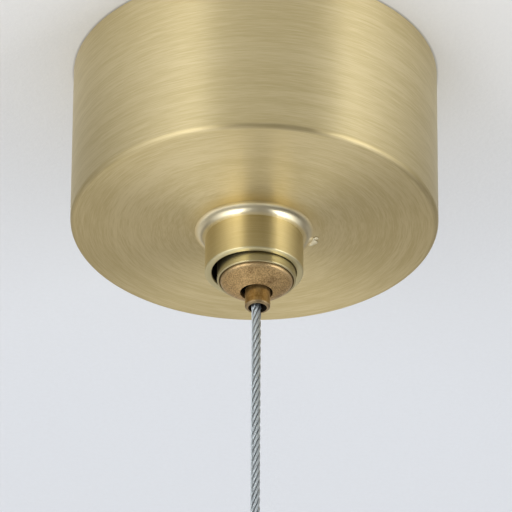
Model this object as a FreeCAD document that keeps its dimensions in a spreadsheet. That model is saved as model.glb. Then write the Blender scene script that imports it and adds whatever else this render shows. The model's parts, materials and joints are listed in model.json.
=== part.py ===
"""Ceiling end of a rise and fall pendant: a brass cup, a wire rope gripper and the rope it holds.

Millimetres. The ceiling is the plane z = 0 and the rope hangs down the Z axis.
A push on the plunger lifts the clamp balls out of their taper, and the rope runs free.
"""
import FreeCAD, Part
import math
import os
import re
import Sketcher

SIZES = {
    # Brass cup against the ceiling
    "canopy_radius": 30.0,
    "canopy_height": 30.0,
    "canopy_wall": 1.0,
    "canopy_round": 0.7,
    "floor_sag": 0.6,
    "floor_flat_radius": 10.0,
    "canopy_offset": 0.4,
    # Turned neck soldered into the cup's floor
    "neck_length": 8.3,
    "neck_wall": 1.1,
    "sleeve_gap": 0.5,
    "neck_rim_round": 0.25,
    "spigot_step": 0.4,
    "spigot_stand": 1.0,
    "ledge_thickness": 1.5,
    "ledge_clearance": 0.6,
    "solder_leg": 1.6,
    "solder_land": 0.08,
    # Steel strip screwed to the ceiling
    "strip_width": 16.0,
    "strip_thickness": 1.5,
    "bend_radius": 1.0,
    "foot_clearance": 3.0,
    "foot_margin": 1.5,
    "web_clearance": 4.0,
    "screw_slot_width": 4.5,
    "screw_slot_length": 7.0,
    # Threaded stem and its nuts
    "stem_radius": 5.0,
    "stem_stand": 2.2,
    "stem_hole_clearance": 0.15,
    "thread_clearance": 0.03,
    "nut_across_flats": 14.0,
    "nut_thickness": 2.5,
    "washer_radius": 7.6,
    "washer_thickness": 0.8,
    "stem_spigot_radius": 4.2,
    "stem_spigot_length": 3.0,
    "spring_bore_radius": 2.6,
    "rope_bore_radius": 1.1,
    # Bush that turns the rope over without chafing
    "guide_radius": 2.2,
    "guide_depth": 2.5,
    "guide_flange_radius": 3.2,
    "guide_flange_thickness": 1.0,
    "guide_flare": 0.5,
    # Gripper: brass sleeve, bronze clamp body with a domed end
    "barrel_radius": 5.9,
    "sleeve_fit": 0.05,
    "sleeve_wall": 0.45,
    "sleeve_top": 1.1,
    "sleeve_stand": 1.5,
    "sleeve_round": 0.15,
    "sleeve_chamfer": 0.15,
    "dome_land": 0.25,
    "dome_round": 0.3,
    "dome_rise": 1.95,
    "dome_edge_radius": 2.65,
    "dome_recess_step": 0.3,
    "dome_recess_depth": 0.7,
    "taper_foot_height": 1.3,
    "taper_foot_radius": 2.75,
    "taper_head_radius": 4.2,
    "taper_length": 5.8,
    # Plunger with its ball cage, balls and spring
    "plunger_radius": 2.05,
    "plunger_stand": 2.9,
    "plunger_chamfer": 0.25,
    "mouth_radius": 1.5,
    "plunger_offset": 0.2,
    "rope_clearance": 0.2,
    "cage_radius": 2.5,
    "cage_lift": 0.3,
    "cage_head": 2.2,
    "ball_radius": 1.25,
    "ball_clearance": 0.06,
    "grip_gap": 0.05,
    "spring_wire": 0.4,
    "spring_radius": 1.85,
    "spring_length": 10.8,
    "spring_gap": 0.05,
    # Wire rope
    "rope_diameter": 1.5,
    "coil_wall_gap": 2.75,
    "coil_floor_gap": 0.15,
    "coil_pitch": 2.0,
    "coil_layer_rise": 1.95,
    "coil_end_rise": 2.5,
    "stop_radius": 1.45,
    "stop_length": 6.0,
    "stop_chamfer": 0.3,
    # Swivelling end that the lamp screws on to
    "drop_length": 43.6,
    "cap_radius": 6.5,
    "cap_top": 3.0,
    "cap_height": 16.0,
    "cap_round": 1.2,
    "cap_hole_clearance": 0.3,
    "swivel_thickness": 0.5,
    "nipple_radius": 2.0,
    "nipple_length": 5.0,
    "nipple_clearance": 0.3,
    "nipple_chamfer": 0.3,
    "lamp_thread_radius": 4.46,
    "lamp_thread_length": 7.5,
    "grub_radius": 1.5,
    "grub_socket": 0.75,
    "grub_socket_depth": 1.0,
    "grub_clearance": 0.05,
    "grub_height": 3.6,
}

SPRING_TURNS = 7
COIL_TURNS = 5.75
COIL_START_ANGLE = 154.0
COIL_CLIMB_TURNS = 0.5
COIL_RISE_TURNS = 0.25
BALLS = 3

# Heights, from the cup's floor down to the lamp's end. The floor sags towards the neck.
FLOOR = "(-canopy_height)"
FLOOR_EDGE = f"({FLOOR} + floor_sag)"
NECK_RIM = "(-canopy_height - neck_length)"
LEDGE_TOP = "(-canopy_height + canopy_wall + spigot_stand)"
LEDGE_FACE = "(-canopy_height + canopy_wall + spigot_stand - ledge_thickness)"
BODY_TOP = f"({LEDGE_FACE} - sleeve_top)"
SLEEVE_EDGE = f"({NECK_RIM} - sleeve_stand)"
DOME_EDGE = f"({SLEEVE_EDGE} - dome_land)"
DOME_END = f"({DOME_EDGE} - dome_rise)"
TAPER_FOOT = f"({DOME_END} + taper_foot_height)"
TAPER_HEAD = f"({TAPER_FOOT} + taper_length)"
PLUNGER_TIP = f"({DOME_END} - plunger_stand)"

# Heights, from the ledge up to the mouth of the rope guide
WEB_FACE = f"({LEDGE_TOP} + web_clearance)"
WEB_TOP = f"({WEB_FACE} + strip_thickness)"
STEM_TOP = f"({WEB_TOP} + washer_thickness + nut_thickness + stem_stand)"
GUIDE_TOP = f"({STEM_TOP} + guide_flange_thickness)"

# The neck stands round the gripper's sleeve
SLEEVE_RADIUS = "(barrel_radius + sleeve_fit + sleeve_wall)"
NECK_BORE = f"({SLEEVE_RADIUS} + sleeve_gap)"
NECK_RADIUS = f"({NECK_BORE} + neck_wall)"

# The bracket's feet reach towards the cup's wall, and each takes one slot
FOOT_END = "(canopy_radius - canopy_wall - foot_clearance)"
LEG_FACE = f"({FOOT_END} - screw_slot_length - 2 * foot_margin)"

# The balls touch the rope and the taper but for the grip gap
ROPE_RADIUS = "(rope_diameter / 2)"
BALL_ORBIT = f"({ROPE_RADIUS} + grip_gap + ball_radius)"
TAPER_SLOPE = "((taper_head_radius - taper_foot_radius) / taper_length)"
BALL_WALL = f"({BALL_ORBIT} + (ball_radius + grip_gap) * sqrt(1 + {TAPER_SLOPE} * {TAPER_SLOPE}))"
BALL_HEIGHT = f"({TAPER_FOOT} + ({BALL_WALL} - taper_foot_radius) / {TAPER_SLOPE})"
CAGE_TOP = f"({BALL_HEIGHT} + cage_head)"
SPRING_SEAT = f"({CAGE_TOP} + spring_length)"

# The lamp's end hangs on the rope
CAP_TOP = f"({PLUNGER_TIP} - drop_length)"
CAP_SHOULDER = f"({CAP_TOP} - cap_top)"
CAP_END = f"({CAP_TOP} - cap_height)"
NIPPLE_TOP = f"({CAP_SHOULDER} - swivel_thickness)"
LAMP_THREAD_TOP = f"({CAP_END} + lamp_thread_length)"

# The coil lies on the cup's floor
COIL_RADIUS = f"(canopy_radius - canopy_wall - coil_wall_gap - {ROPE_RADIUS})"
COIL_FLOOR = f"({FLOOR_EDGE} + canopy_wall + coil_floor_gap + {ROPE_RADIUS})"

# Points chosen by hand for the rope's way over from the guide to the coil
TAIL_POINTS = [
    (0.0, 0.0, -12.6),
    (0.0, 1.3, -9.5),
    (0.0, 3.7, -7.0),
    (0.0, 6.9, -5.8),
    (0.0, 11.1, -5.8),
    (-1.1, 16.1, -7.6),
    (-3.3, 20.8, -11.7),
    (-6.5, 24.9, -16.9),
    (-11.8, 23.1, -22.4),
    (-17.2, 19.8, -26.4),
]
TAIL_LAST_RUN = 4.5
TAIL_CORNER_SHARE = 0.45

SAME_PLACE = 1e-4

document = FreeCAD.newDocument("rise_and_fall_pendant")
sheet = document.addObject("Spreadsheet::Sheet", "Sizes")


# ---------------------------------------------------------------- sizes

def fill_sheet():
    """Write each driving size to the sheet, under its own alias."""
    for row, (name, size) in enumerate(SIZES.items(), start=1):
        sheet.set(f"A{row}", name)
        sheet.set(f"B{row}", str(size))
        sheet.setAlias(f"B{row}", name)
    document.recompute()


def bound(text):
    """Return an expression with its size names pointed at the sheet."""
    return re.sub(r"[a-z_]+", lambda word: "Sizes." + word[0] if word[0] in SIZES else word[0], text)


def number(text):
    """Work out an expression of size names."""
    return float(sheet.evalExpression(bound(text)))


def drive(item, **expressions):
    """Bind an object's properties to expressions of size names."""
    for name, text in expressions.items():
        item.setExpression(name.replace("__", "."), bound(text))


# ---------------------------------------------------------------- sketches

def new_body(label):
    body = document.addObject("PartDesign::Body", label)
    body.Label = label
    return body


def new_sketch(body, role, name):
    """Put a sketch on one of the body's own origin planes."""
    sketch = body.newObject("Sketcher::SketchObject", name)
    plane = next(item for item in body.Origin.OriginFeatures if item.Role == role)
    sketch.AttachmentSupport = (plane, [""])
    sketch.MapMode = "FlatFace"
    return sketch


def pin(sketch, geometry, place, x, y):
    """Hold a point of the sketch at x, y, which are expressions."""
    for kind, text, axis in (("DistanceX", x, -2), ("DistanceY", y, -1)):
        if text == "0":
            sketch.addConstraint(Sketcher.Constraint("PointOnObject", geometry, place, axis))
            continue
        index = sketch.addConstraint(
            Sketcher.Constraint(kind, -1, 1, geometry, place, number(text)))
        sketch.setExpression(f"Constraints[{index}]", bound(text))


def arc_between(start, end, centre_x):
    """Return the shorter arc between two points whose centre has the given x."""
    rise = end.dot(end) - start.dot(start)
    centre_y = (rise - 2 * centre_x * (end.x - start.x)) / (2 * (end.y - start.y))
    centre = FreeCAD.Vector(centre_x, centre_y, 0)
    angles = [math.atan2(point.y - centre.y, point.x - centre.x) for point in (start, end)]
    turns_left = (start - centre).cross(end - centre).z > 0
    circle = Part.Circle(centre, FreeCAD.Vector(0, 0, 1), start.distanceToPoint(centre))
    if turns_left:
        return Part.ArcOfCircle(circle, angles[0], angles[1]), turns_left
    return Part.ArcOfCircle(circle, angles[1], angles[0]), turns_left


def outline(sketch, corners):
    """Draw a closed outline. A corner is x, y, and the x of the centre where an arc leaves it."""
    points = [FreeCAD.Vector(number(corner[0]), number(corner[1]), 0) for corner in corners]
    ends = []
    for index, corner in enumerate(corners):
        start = points[index]
        end = points[(index + 1) % len(points)]
        if len(corner) == 2:
            geometry = sketch.addGeometry(Part.LineSegment(start, end), False)
            ends.append((geometry, 1, 2))
            continue
        curve, turns_left = arc_between(start, end, number(corner[2]))
        geometry = sketch.addGeometry(curve, False)
        ends.append((geometry, 1, 2) if turns_left else (geometry, 2, 1))
    for index, (geometry, first, last) in enumerate(ends):
        following = ends[(index + 1) % len(ends)]
        sketch.addConstraint(
            Sketcher.Constraint("Coincident", geometry, last, following[0], following[1]))
    for (geometry, first, last), corner in zip(ends, corners):
        pin(sketch, geometry, first, corner[0], corner[1])
        if len(corner) == 3 and corner[2] == "0":
            sketch.addConstraint(Sketcher.Constraint("PointOnObject", geometry, 3, -2))
        elif len(corner) == 3:
            index = sketch.addConstraint(
                Sketcher.Constraint("DistanceX", -1, 1, geometry, 3, number(corner[2])))
            sketch.setExpression(f"Constraints[{index}]", bound(corner[2]))


def circle_at(sketch, x, y, radius):
    """Draw a circle whose centre and radius are expressions."""
    centre = FreeCAD.Vector(number(x), number(y), 0)
    circle = Part.Circle(centre, FreeCAD.Vector(0, 0, 1), number(radius))
    geometry = sketch.addGeometry(circle, False)
    pin(sketch, geometry, 3, x, y)
    index = sketch.addConstraint(Sketcher.Constraint("Radius", geometry, number(radius)))
    sketch.setExpression(f"Constraints[{index}]", bound(radius))


def slot_at(sketch, x, length, width):
    """Draw a slot on the sketch's x axis, centred on x."""
    half_width = f"({width} / 2)"
    reach = f"({length} / 2 - {half_width})"
    arcs = []
    for side, quarter in (("+", -0.5), ("-", 0.5)):
        centre = FreeCAD.Vector(number(f"{x} {side} {reach}"), 0, 0)
        circle = Part.Circle(centre, FreeCAD.Vector(0, 0, 1), number(half_width))
        arc = Part.ArcOfCircle(circle, quarter * math.pi, (quarter + 1) * math.pi)
        arcs.append(sketch.addGeometry(arc, False))
        pin(sketch, arcs[-1], 3, f"{x} {side} {reach}", "0")
    right, left = arcs
    for start, end in ((right, left), (left, right)):
        side = Part.LineSegment(sketch.getPoint(start, 2), sketch.getPoint(end, 1))
        line = sketch.addGeometry(side, False)
        sketch.addConstraint(Sketcher.Constraint("Tangent", start, 2, line, 1))
        sketch.addConstraint(Sketcher.Constraint("Tangent", line, 2, end, 1))
    index = sketch.addConstraint(Sketcher.Constraint("Radius", right, number(half_width)))
    sketch.setExpression(f"Constraints[{index}]", bound(half_width))


# ---------------------------------------------------------------- features

def turned(label, corners):
    """Return a body turned about Z from a half section of r, z corners."""
    body = new_body(label)
    sketch = new_sketch(body, "XZ_Plane", label + "_section")
    outline(sketch, corners)
    turning = body.newObject("PartDesign::Revolution", label + "_turning")
    turning.Profile = sketch
    turning.ReferenceAxis = (sketch, ["V_Axis"])
    turning.Angle = 360
    sketch.Visibility = False
    document.recompute()
    return body


def ring_edges(body, radius, height):
    """Name the circular edges about Z with a radius and a height."""
    names = []
    for index, edge in enumerate(body.Tip.Shape.Edges, start=1):
        curve = edge.Curve
        if not isinstance(curve, Part.Circle):
            continue
        same_radius = abs(curve.Radius - number(radius)) < SAME_PLACE
        same_height = abs(curve.Center.z - number(height)) < SAME_PLACE
        if same_radius and same_height:
            names.append(f"Edge{index}")
    return names


def edges_along_y(body, places):
    """Name the straight edges along Y that stand at the x, z places."""
    names = []
    for index, edge in enumerate(body.Tip.Shape.Edges, start=1):
        first, last = edge.Vertexes[0].Point, edge.Vertexes[-1].Point
        if abs(first.y - last.y) < SAME_PLACE:
            continue
        for x, z in places:
            if math.hypot(first.x - x, first.z - z) < SAME_PLACE:
                names.append(f"Edge{index}")
    return names


def rounded(body, names, radius):
    """Round the named edges of the body's last feature."""
    last = body.Tip
    fillet = body.newObject("PartDesign::Fillet", body.Label + "_round")
    fillet.Base = (last, names)
    drive(fillet, Radius=radius)
    document.recompute()


def pocketed(body, sketch, depth, reversed=False):
    """Cut a sketch into the body to a depth, and make sure that it cut."""
    before = body.Shape.Volume
    pocket = body.newObject("PartDesign::Pocket", body.Label + "_cut")
    pocket.Profile = sketch
    pocket.Reversed = reversed
    drive(pocket, Length=depth)
    sketch.Visibility = False
    document.recompute()
    if body.Shape.Volume > before - 1e-3:
        raise RuntimeError(f"{body.Label}: a pocket cuts nothing")
    return pocket


# ---------------------------------------------------------------- paths and tubes

def arc_edge(start, tangent, end):
    """Return the arc that leaves start along tangent and reaches end."""
    chord = end - start
    along = FreeCAD.Vector(chord).normalize()
    lean = math.acos(max(-1.0, min(1.0, tangent.dot(along))))
    if lean < 1e-7:
        return Part.LineSegment(start, end).toShape()
    side = (tangent - along * tangent.dot(along)).normalize()
    middle = (start + end) * 0.5 + side * (0.5 * chord.Length * math.tan(lean / 2))
    return Part.Arc(start, middle, end).toShape()


def biarc(start, start_tangent, end, end_tangent):
    """Return the two arcs that join two points with their tangents."""
    chord = end - start
    spread = start_tangent + end_tangent
    bend = 2 * (start_tangent.dot(end_tangent) - 1)
    pull = chord.dot(spread)
    if abs(bend) < 1e-9:
        reach = chord.dot(chord) / (2 * pull)
    else:
        root = math.sqrt(pull * pull - bend * chord.dot(chord))
        reach = (pull - root) / bend
    first = start + start_tangent * reach
    last = end - end_tangent * reach
    join = (first + last) * 0.5
    join_tangent = (last - first).normalize()
    return [arc_edge(start, start_tangent, join), arc_edge(join, join_tangent, end)]


def winding(place, turns, steps_per_turn):
    """Return biarc edges along place(turn), with the tangents at both ends."""
    count = round(turns * steps_per_turn)
    step = turns / count
    small = 1e-4

    def tangent(turn):
        return (place(turn + small) - place(turn - small)).normalize()

    edges = []
    for index in range(count):
        first, last = index * step, (index + 1) * step
        edges += biarc(place(first), tangent(first), place(last), tangent(last))
    return edges, tangent(0), tangent(turns)


def routed(label, points):
    """Return straight runs joined by tangent arcs, and print the arcs' radii."""
    edges = []
    radii = []
    here = points[0]
    for before, corner, after in zip(points, points[1:], points[2:]):
        into = (corner - before).normalize()
        out = (after - corner).normalize()
        half_turn = into.getAngle(out) / 2
        shorter = min(corner.distanceToPoint(before), corner.distanceToPoint(after))
        cut = TAIL_CORNER_SHARE * shorter
        radii.append(cut / math.tan(half_turn))
        start = corner - into * cut
        end = corner + out * cut
        edges.append(Part.LineSegment(here, start).toShape())
        edges.append(arc_edge(start, into, end))
        here = end
    edges.append(Part.LineSegment(here, points[-1]).toShape())
    print(label, "radii", " ".join(f"{radius:.1f}" for radius in radii))
    return edges


def tube(label, edges, diameter):
    """Sweep a round section along joined edges, and compare its volume."""
    path = Part.Wire(Part.__sortEdges__(edges))
    start = edges[0].Vertexes[0].Point
    direction = edges[0].tangentAt(edges[0].FirstParameter)
    section = Part.Wire([Part.Circle(start, direction, diameter / 2).toShape()])
    shape = path.makePipeShell([section], True, False)
    expected = math.pi * diameter ** 2 / 4 * path.Length
    print(f"{label} length {path.Length:.1f} volume ratio {shape.Volume / expected:.4f}")
    feature = document.addObject("Part::Feature", label)
    feature.Label = label
    feature.Shape = shape if shape.ShapeType == "Solid" else shape.Solids[0]
    feature.Placement = FreeCAD.Placement()
    return feature


def print_least_gap(label, place, turns, diameter):
    """Print the least gap between the turns, from points along the centre line."""
    per_turn = 72
    points = [place(index / per_turn) for index in range(round(turns * per_turn) + 1)]
    least = min(
        points[one].distanceToPoint(points[other])
        for one in range(len(points))
        for other in range(one + per_turn // 2, len(points)))
    print(f"{label} least gap {least - diameter:.2f}")


# ---------------------------------------------------------------- ceiling bracket and stem

def make_ceiling_bracket():
    inside = f"({LEG_FACE} - strip_thickness)"
    right_top = [(FOOT_END, "0"), (inside, "0"), (inside, WEB_TOP)]
    right_under = [(LEG_FACE, WEB_FACE), (LEG_FACE, "-strip_thickness"), (FOOT_END, "-strip_thickness")]

    def mirrored(corners):
        return [(f"-{x}", z) for x, z in reversed(corners)]

    body = new_body("ceiling_bracket")
    sketch = new_sketch(body, "XZ_Plane", "strip_section")
    outline(sketch, right_top + mirrored(right_top) + mirrored(right_under) + right_under)
    pad = body.newObject("PartDesign::Pad", "strip")
    pad.Profile = sketch
    pad.Midplane = True
    drive(pad, Length="strip_width")
    document.recompute()
    inner_bends = [(LEG_FACE, "-strip_thickness"), (inside, WEB_TOP)]
    outer_bends = [(inside, "0"), (LEG_FACE, WEB_FACE)]
    for bends, radius in ((inner_bends, "bend_radius"),
                          (outer_bends, "bend_radius + strip_thickness")):
        places = [(side * number(x), number(z)) for x, z in bends for side in (1, -1)]
        rounded(body, edges_along_y(body, places), radius)
    holes = new_sketch(body, "XY_Plane", "strip_holes")
    circle_at(holes, "0", "0", "stem_radius + stem_hole_clearance")
    slot_centre = f"(({LEG_FACE} + {FOOT_END}) / 2)"
    for side in ("", "-"):
        slot_at(holes, side + slot_centre, "screw_slot_length", "screw_slot_width")
    pocketed(body, holes, f"-{WEB_FACE} + strip_thickness")


def make_nut(label, foot):
    """Make a hexagon nut whose lower face is at the height foot."""
    blank = document.addObject("Part::Prism", label + "_blank")
    blank.Polygon = 6
    drive(blank, Circumradius="nut_across_flats / sqrt(3)", Height="nut_thickness")
    bore = document.addObject("Part::Cylinder", label + "_bore")
    drive(bore, Radius="stem_radius + thread_clearance", Height="nut_thickness")
    nut = document.addObject("Part::Cut", label)
    nut.Label = label
    nut.Base = blank
    nut.Tool = bore
    drive(nut, Placement__Base__z=foot)


def make_ring(label, inner, outer, foot, head):
    """Make a plain ring between two radii and two heights."""
    return turned(label, [(inner, foot), (outer, foot), (outer, head), (inner, head)])


def make_threaded_stem():
    foot = f"({BODY_TOP} - stem_spigot_length)"
    guide_seat = f"({STEM_TOP} - guide_depth)"
    turned("threaded_stem", [
        ("spring_bore_radius", foot),
        ("stem_spigot_radius", foot),
        ("stem_spigot_radius", BODY_TOP),
        ("stem_radius", BODY_TOP),
        ("stem_radius", STEM_TOP),
        ("guide_radius + thread_clearance", STEM_TOP),
        ("guide_radius + thread_clearance", guide_seat),
        ("rope_bore_radius", guide_seat),
        ("rope_bore_radius", SPRING_SEAT),
        ("spring_bore_radius", SPRING_SEAT),
    ])


def make_rope_guide():
    bore = f"({ROPE_RADIUS} + rope_clearance)"
    foot = f"({STEM_TOP} - guide_depth)"
    turned("rope_guide", [
        (bore, foot),
        ("guide_radius", foot),
        ("guide_radius", STEM_TOP),
        ("guide_flange_radius", STEM_TOP),
        ("guide_flange_radius", GUIDE_TOP),
        (f"{bore} + guide_flare", GUIDE_TOP),
        (bore, f"{GUIDE_TOP} - guide_flare"),
    ])


# ---------------------------------------------------------------- canopy

def make_canopy_cup():
    hole = f"({NECK_RADIUS} - spigot_step)"
    inside = "(canopy_radius - canopy_wall)"
    edge_top = f"({FLOOR_EDGE} + canopy_wall)"
    body = turned("canopy_cup", [
        (hole, FLOOR),
        ("floor_flat_radius", FLOOR),
        ("canopy_radius", FLOOR_EDGE),
        ("canopy_radius", "0"),
        (inside, "0"),
        (inside, edge_top),
        ("floor_flat_radius", f"({FLOOR} + canopy_wall)"),
        (hole, f"({FLOOR} + canopy_wall)"),
    ])
    rounded(body, ring_edges(body, "canopy_radius", FLOOR_EDGE), "canopy_round")
    rounded(body, ring_edges(body, inside, edge_top), "canopy_round")
    drive(body, Placement__Base__x="-canopy_offset")


def make_canopy_neck():
    spigot = f"({NECK_RADIUS} - spigot_step)"
    ledge = "(stem_radius + ledge_clearance)"
    body = turned("canopy_neck", [
        (NECK_BORE, NECK_RIM),
        (NECK_RADIUS, NECK_RIM),
        (NECK_RADIUS, FLOOR),
        (spigot, FLOOR),
        (spigot, LEDGE_TOP),
        (ledge, LEDGE_TOP),
        (ledge, LEDGE_FACE),
        (NECK_BORE, LEDGE_FACE),
    ])
    rounded(body, ring_edges(body, NECK_RADIUS, NECK_RIM), "neck_rim_round")
    drive(body, Placement__Base__x="-canopy_offset")


def make_neck_solder():
    reach = f"({NECK_RADIUS} + solder_leg)"
    body = turned("neck_solder", [
        (NECK_RADIUS, FLOOR),
        (NECK_RADIUS, f"{FLOOR} - solder_leg"),
        (f"{NECK_RADIUS} + solder_land", f"{FLOOR} - solder_leg", reach),
        (reach, f"{FLOOR} - solder_land"),
        (reach, FLOOR),
    ])
    drive(body, Placement__Base__x="-canopy_offset")


# ---------------------------------------------------------------- gripper

def make_gripper_sleeve():
    bore = "(stem_radius + thread_clearance)"
    inside = "(barrel_radius + sleeve_fit)"
    body = turned("gripper_sleeve", [
        (bore, BODY_TOP),
        (inside, BODY_TOP),
        (inside, f"{SLEEVE_EDGE} + sleeve_chamfer"),
        (f"{inside} + sleeve_chamfer", SLEEVE_EDGE),
        (SLEEVE_RADIUS, SLEEVE_EDGE),
        (SLEEVE_RADIUS, LEDGE_FACE),
        (bore, LEDGE_FACE),
    ])
    rounded(body, ring_edges(body, SLEEVE_RADIUS, SLEEVE_EDGE), "sleeve_round")


def make_clamp_body():
    hole = "(dome_edge_radius - dome_recess_step)"
    recess = f"({DOME_END} + dome_recess_depth)"
    socket = "(stem_spigot_radius + thread_clearance)"
    body = turned("clamp_body", [
        (hole, recess),
        ("dome_edge_radius", recess),
        ("dome_edge_radius", DOME_END, "0"),
        ("barrel_radius", DOME_EDGE),
        ("barrel_radius", BODY_TOP),
        (socket, BODY_TOP),
        (socket, TAPER_HEAD),
        ("taper_head_radius", TAPER_HEAD),
        ("taper_foot_radius", TAPER_FOOT),
        (hole, TAPER_FOOT),
    ])
    rounded(body, ring_edges(body, "barrel_radius", DOME_EDGE), "dome_round")


def make_plunger():
    bore = f"({ROPE_RADIUS} + plunger_offset + grip_gap)"
    shoulder = f"({TAPER_FOOT} + cage_lift)"
    body = turned("plunger", [
        (bore, f"{PLUNGER_TIP} + mouth_radius - {bore}"),
        ("mouth_radius", PLUNGER_TIP),
        ("plunger_radius - plunger_chamfer", PLUNGER_TIP),
        ("plunger_radius", f"{PLUNGER_TIP} + plunger_chamfer"),
        ("plunger_radius", shoulder),
        ("cage_radius", shoulder),
        ("cage_radius", CAGE_TOP),
        (bore, CAGE_TOP),
    ])
    window = new_sketch(body, "YZ_Plane", "ball_window")
    circle_at(window, "0", BALL_HEIGHT, "ball_radius + plunger_offset + ball_clearance")
    pocket = pocketed(body, window, "cage_radius + ball_clearance", reversed=True)
    around = body.newObject("PartDesign::PolarPattern", "ball_windows")
    around.Originals = [pocket]
    around.Axis = (window, ["V_Axis"])
    around.Angle = 360
    around.Occurrences = BALLS
    body.Tip = around
    drive(body, Placement__Base__x="plunger_offset")


def make_clamp_balls():
    balls = []
    for index in range(BALLS):
        angle = index * 360 // BALLS
        ball = document.addObject("Part::Sphere", f"clamp_ball_{index}")
        drive(ball,
              Radius="ball_radius",
              Placement__Base__x=f"{BALL_ORBIT} * cos({angle} deg)",
              Placement__Base__y=f"{BALL_ORBIT} * sin({angle} deg)",
              Placement__Base__z=BALL_HEIGHT)
        balls.append(ball)
    group = document.addObject("Part::Compound", "clamp_balls")
    group.Label = "clamp_balls"
    group.Links = balls


def make_release_spring():
    radius = number("spring_radius")
    wire = number("spring_wire")
    foot = number(f"{CAGE_TOP} + spring_gap + spring_wire / 2")
    rise = number("spring_length - 2 * spring_gap - spring_wire")

    def place(turn):
        angle = 2 * math.pi * turn
        height = foot + rise * turn / SPRING_TURNS
        return FreeCAD.Vector(radius * math.cos(angle), radius * math.sin(angle), height)

    edges = winding(place, SPRING_TURNS, 4)[0]
    tube("release_spring", edges, wire)


# ---------------------------------------------------------------- wire rope

def make_straight_rope(label, foot, head):
    rope = document.addObject("Part::Cylinder", label)
    rope.Label = label
    drive(rope, Radius=ROPE_RADIUS, Height=f"{head} - {foot}", Placement__Base__z=foot)


def smooth(share):
    share = max(0.0, min(1.0, share))
    return share * share * (3 - 2 * share)


def coil_place(turn):
    """Spiral in on the floor, climb a layer where the spiral reverses, and spiral out."""
    half = COIL_TURNS / 2
    radius = number(COIL_RADIUS) - number("coil_pitch") * min(turn, COIL_TURNS - turn)
    climb = smooth((turn - half) / COIL_CLIMB_TURNS + 0.5) * number("coil_layer_rise")
    lift = smooth((turn - COIL_TURNS) / COIL_RISE_TURNS + 1) * number("coil_end_rise")
    angle = math.radians(COIL_START_ANGLE) + 2 * math.pi * turn
    height = number(COIL_FLOOR) + climb + lift
    return FreeCAD.Vector(radius * math.cos(angle), radius * math.sin(angle), height)


def make_coil_and_stop():
    """Make the coil of spare rope and the crimped stop on its end. Return its start."""
    diameter = number("rope_diameter")
    turns, into, out = winding(coil_place, COIL_TURNS, 4)
    start = coil_place(0) - into * diameter
    end = coil_place(COIL_TURNS) + out * diameter
    first = Part.LineSegment(start, coil_place(0)).toShape()
    last = Part.LineSegment(coil_place(COIL_TURNS), end).toShape()
    tube("rope_coil", [first] + turns + [last], diameter)
    print_least_gap("rope_coil", coil_place, COIL_TURNS, diameter)
    blank = document.addObject("Part::Cylinder", "rope_stop_blank")
    drive(blank, Radius="stop_radius", Height="stop_length")
    document.recompute()
    stop = document.addObject("Part::Chamfer", "rope_stop")
    stop.Label = "rope_stop"
    stop.Base = blank
    bevel = number("stop_chamfer")
    rims = [index for index, edge in enumerate(blank.Shape.Edges, start=1)
            if isinstance(edge.Curve, Part.Circle)]
    stop.Edges = [(index, bevel, bevel) for index in rims]
    turn_to = FreeCAD.Rotation(FreeCAD.Vector(0, 0, 1), out)
    stop.Placement = FreeCAD.Placement(end, turn_to)
    return start, into


def make_rope_tail(coil_start, coil_tangent):
    points = [FreeCAD.Vector(0, 0, number(GUIDE_TOP))]
    points += [FreeCAD.Vector(*point) for point in TAIL_POINTS]
    points.append(coil_start - coil_tangent * TAIL_LAST_RUN)
    points.append(coil_start)
    tube("rope_tail", routed("rope_tail", points), number("rope_diameter"))


# ---------------------------------------------------------------- lamp's end

def make_rope_nipple():
    foot = f"({NIPPLE_TOP} - nipple_length)"
    turned("rope_nipple", [
        ("0", foot),
        ("nipple_radius - nipple_chamfer", foot),
        ("nipple_radius", f"{foot} + nipple_chamfer"),
        ("nipple_radius", NIPPLE_TOP),
        ("0", NIPPLE_TOP),
    ])


def make_lamp_cap():
    hole = f"({ROPE_RADIUS} + cap_hole_clearance)"
    pocket_radius = "(nipple_radius + nipple_clearance)"
    body = turned("lamp_cap", [
        (hole, CAP_TOP),
        (hole, CAP_SHOULDER),
        (pocket_radius, CAP_SHOULDER),
        (pocket_radius, LAMP_THREAD_TOP),
        ("lamp_thread_radius", LAMP_THREAD_TOP),
        ("lamp_thread_radius", CAP_END),
        ("cap_radius", CAP_END),
        ("cap_radius", CAP_TOP),
    ])
    rounded(body, ring_edges(body, "cap_radius", CAP_TOP), "cap_round")
    hole_sketch = new_sketch(body, "YZ_Plane", "grub_hole")
    circle_at(hole_sketch, "0", f"{CAP_END} + grub_height", "grub_radius + grub_clearance")
    pocketed(body, hole_sketch, "cap_radius + grub_clearance", reversed=True)


def make_lamp_grub_screw():
    body = new_body("lamp_grub_screw")
    sketch = new_sketch(body, "YZ_Plane", "grub_section")
    height = f"{CAP_END} + grub_height"
    circle_at(sketch, "0", height, "grub_radius")
    pad = body.newObject("PartDesign::Pad", "grub")
    pad.Profile = sketch
    drive(pad, Length="cap_radius - lamp_thread_radius - 2 * grub_clearance")
    drive(body, Placement__Base__x="lamp_thread_radius + grub_clearance")
    document.recompute()
    socket = new_sketch(body, "YZ_Plane", "grub_socket")
    circle_at(socket, "0", height, "grub_socket")
    drive(socket, AttachmentOffset__Base__z="cap_radius - lamp_thread_radius - 2 * grub_clearance")
    pocketed(body, socket, "grub_socket_depth")


# ---------------------------------------------------------------- document

NODES = [
    "ceiling_bracket", "bracket_nut_lower", "bracket_lock_washer", "bracket_nut_upper",
    "threaded_stem", "rope_guide",
    "canopy_cup", "canopy_neck", "neck_solder",
    "gripper_sleeve", "clamp_body", "plunger", "clamp_balls", "release_spring",
    "rope_drop", "rope_gripped", "rope_tail", "rope_coil", "rope_stop",
    "swivel_washer", "rope_nipple", "lamp_cap", "lamp_grub_screw",
]


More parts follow.
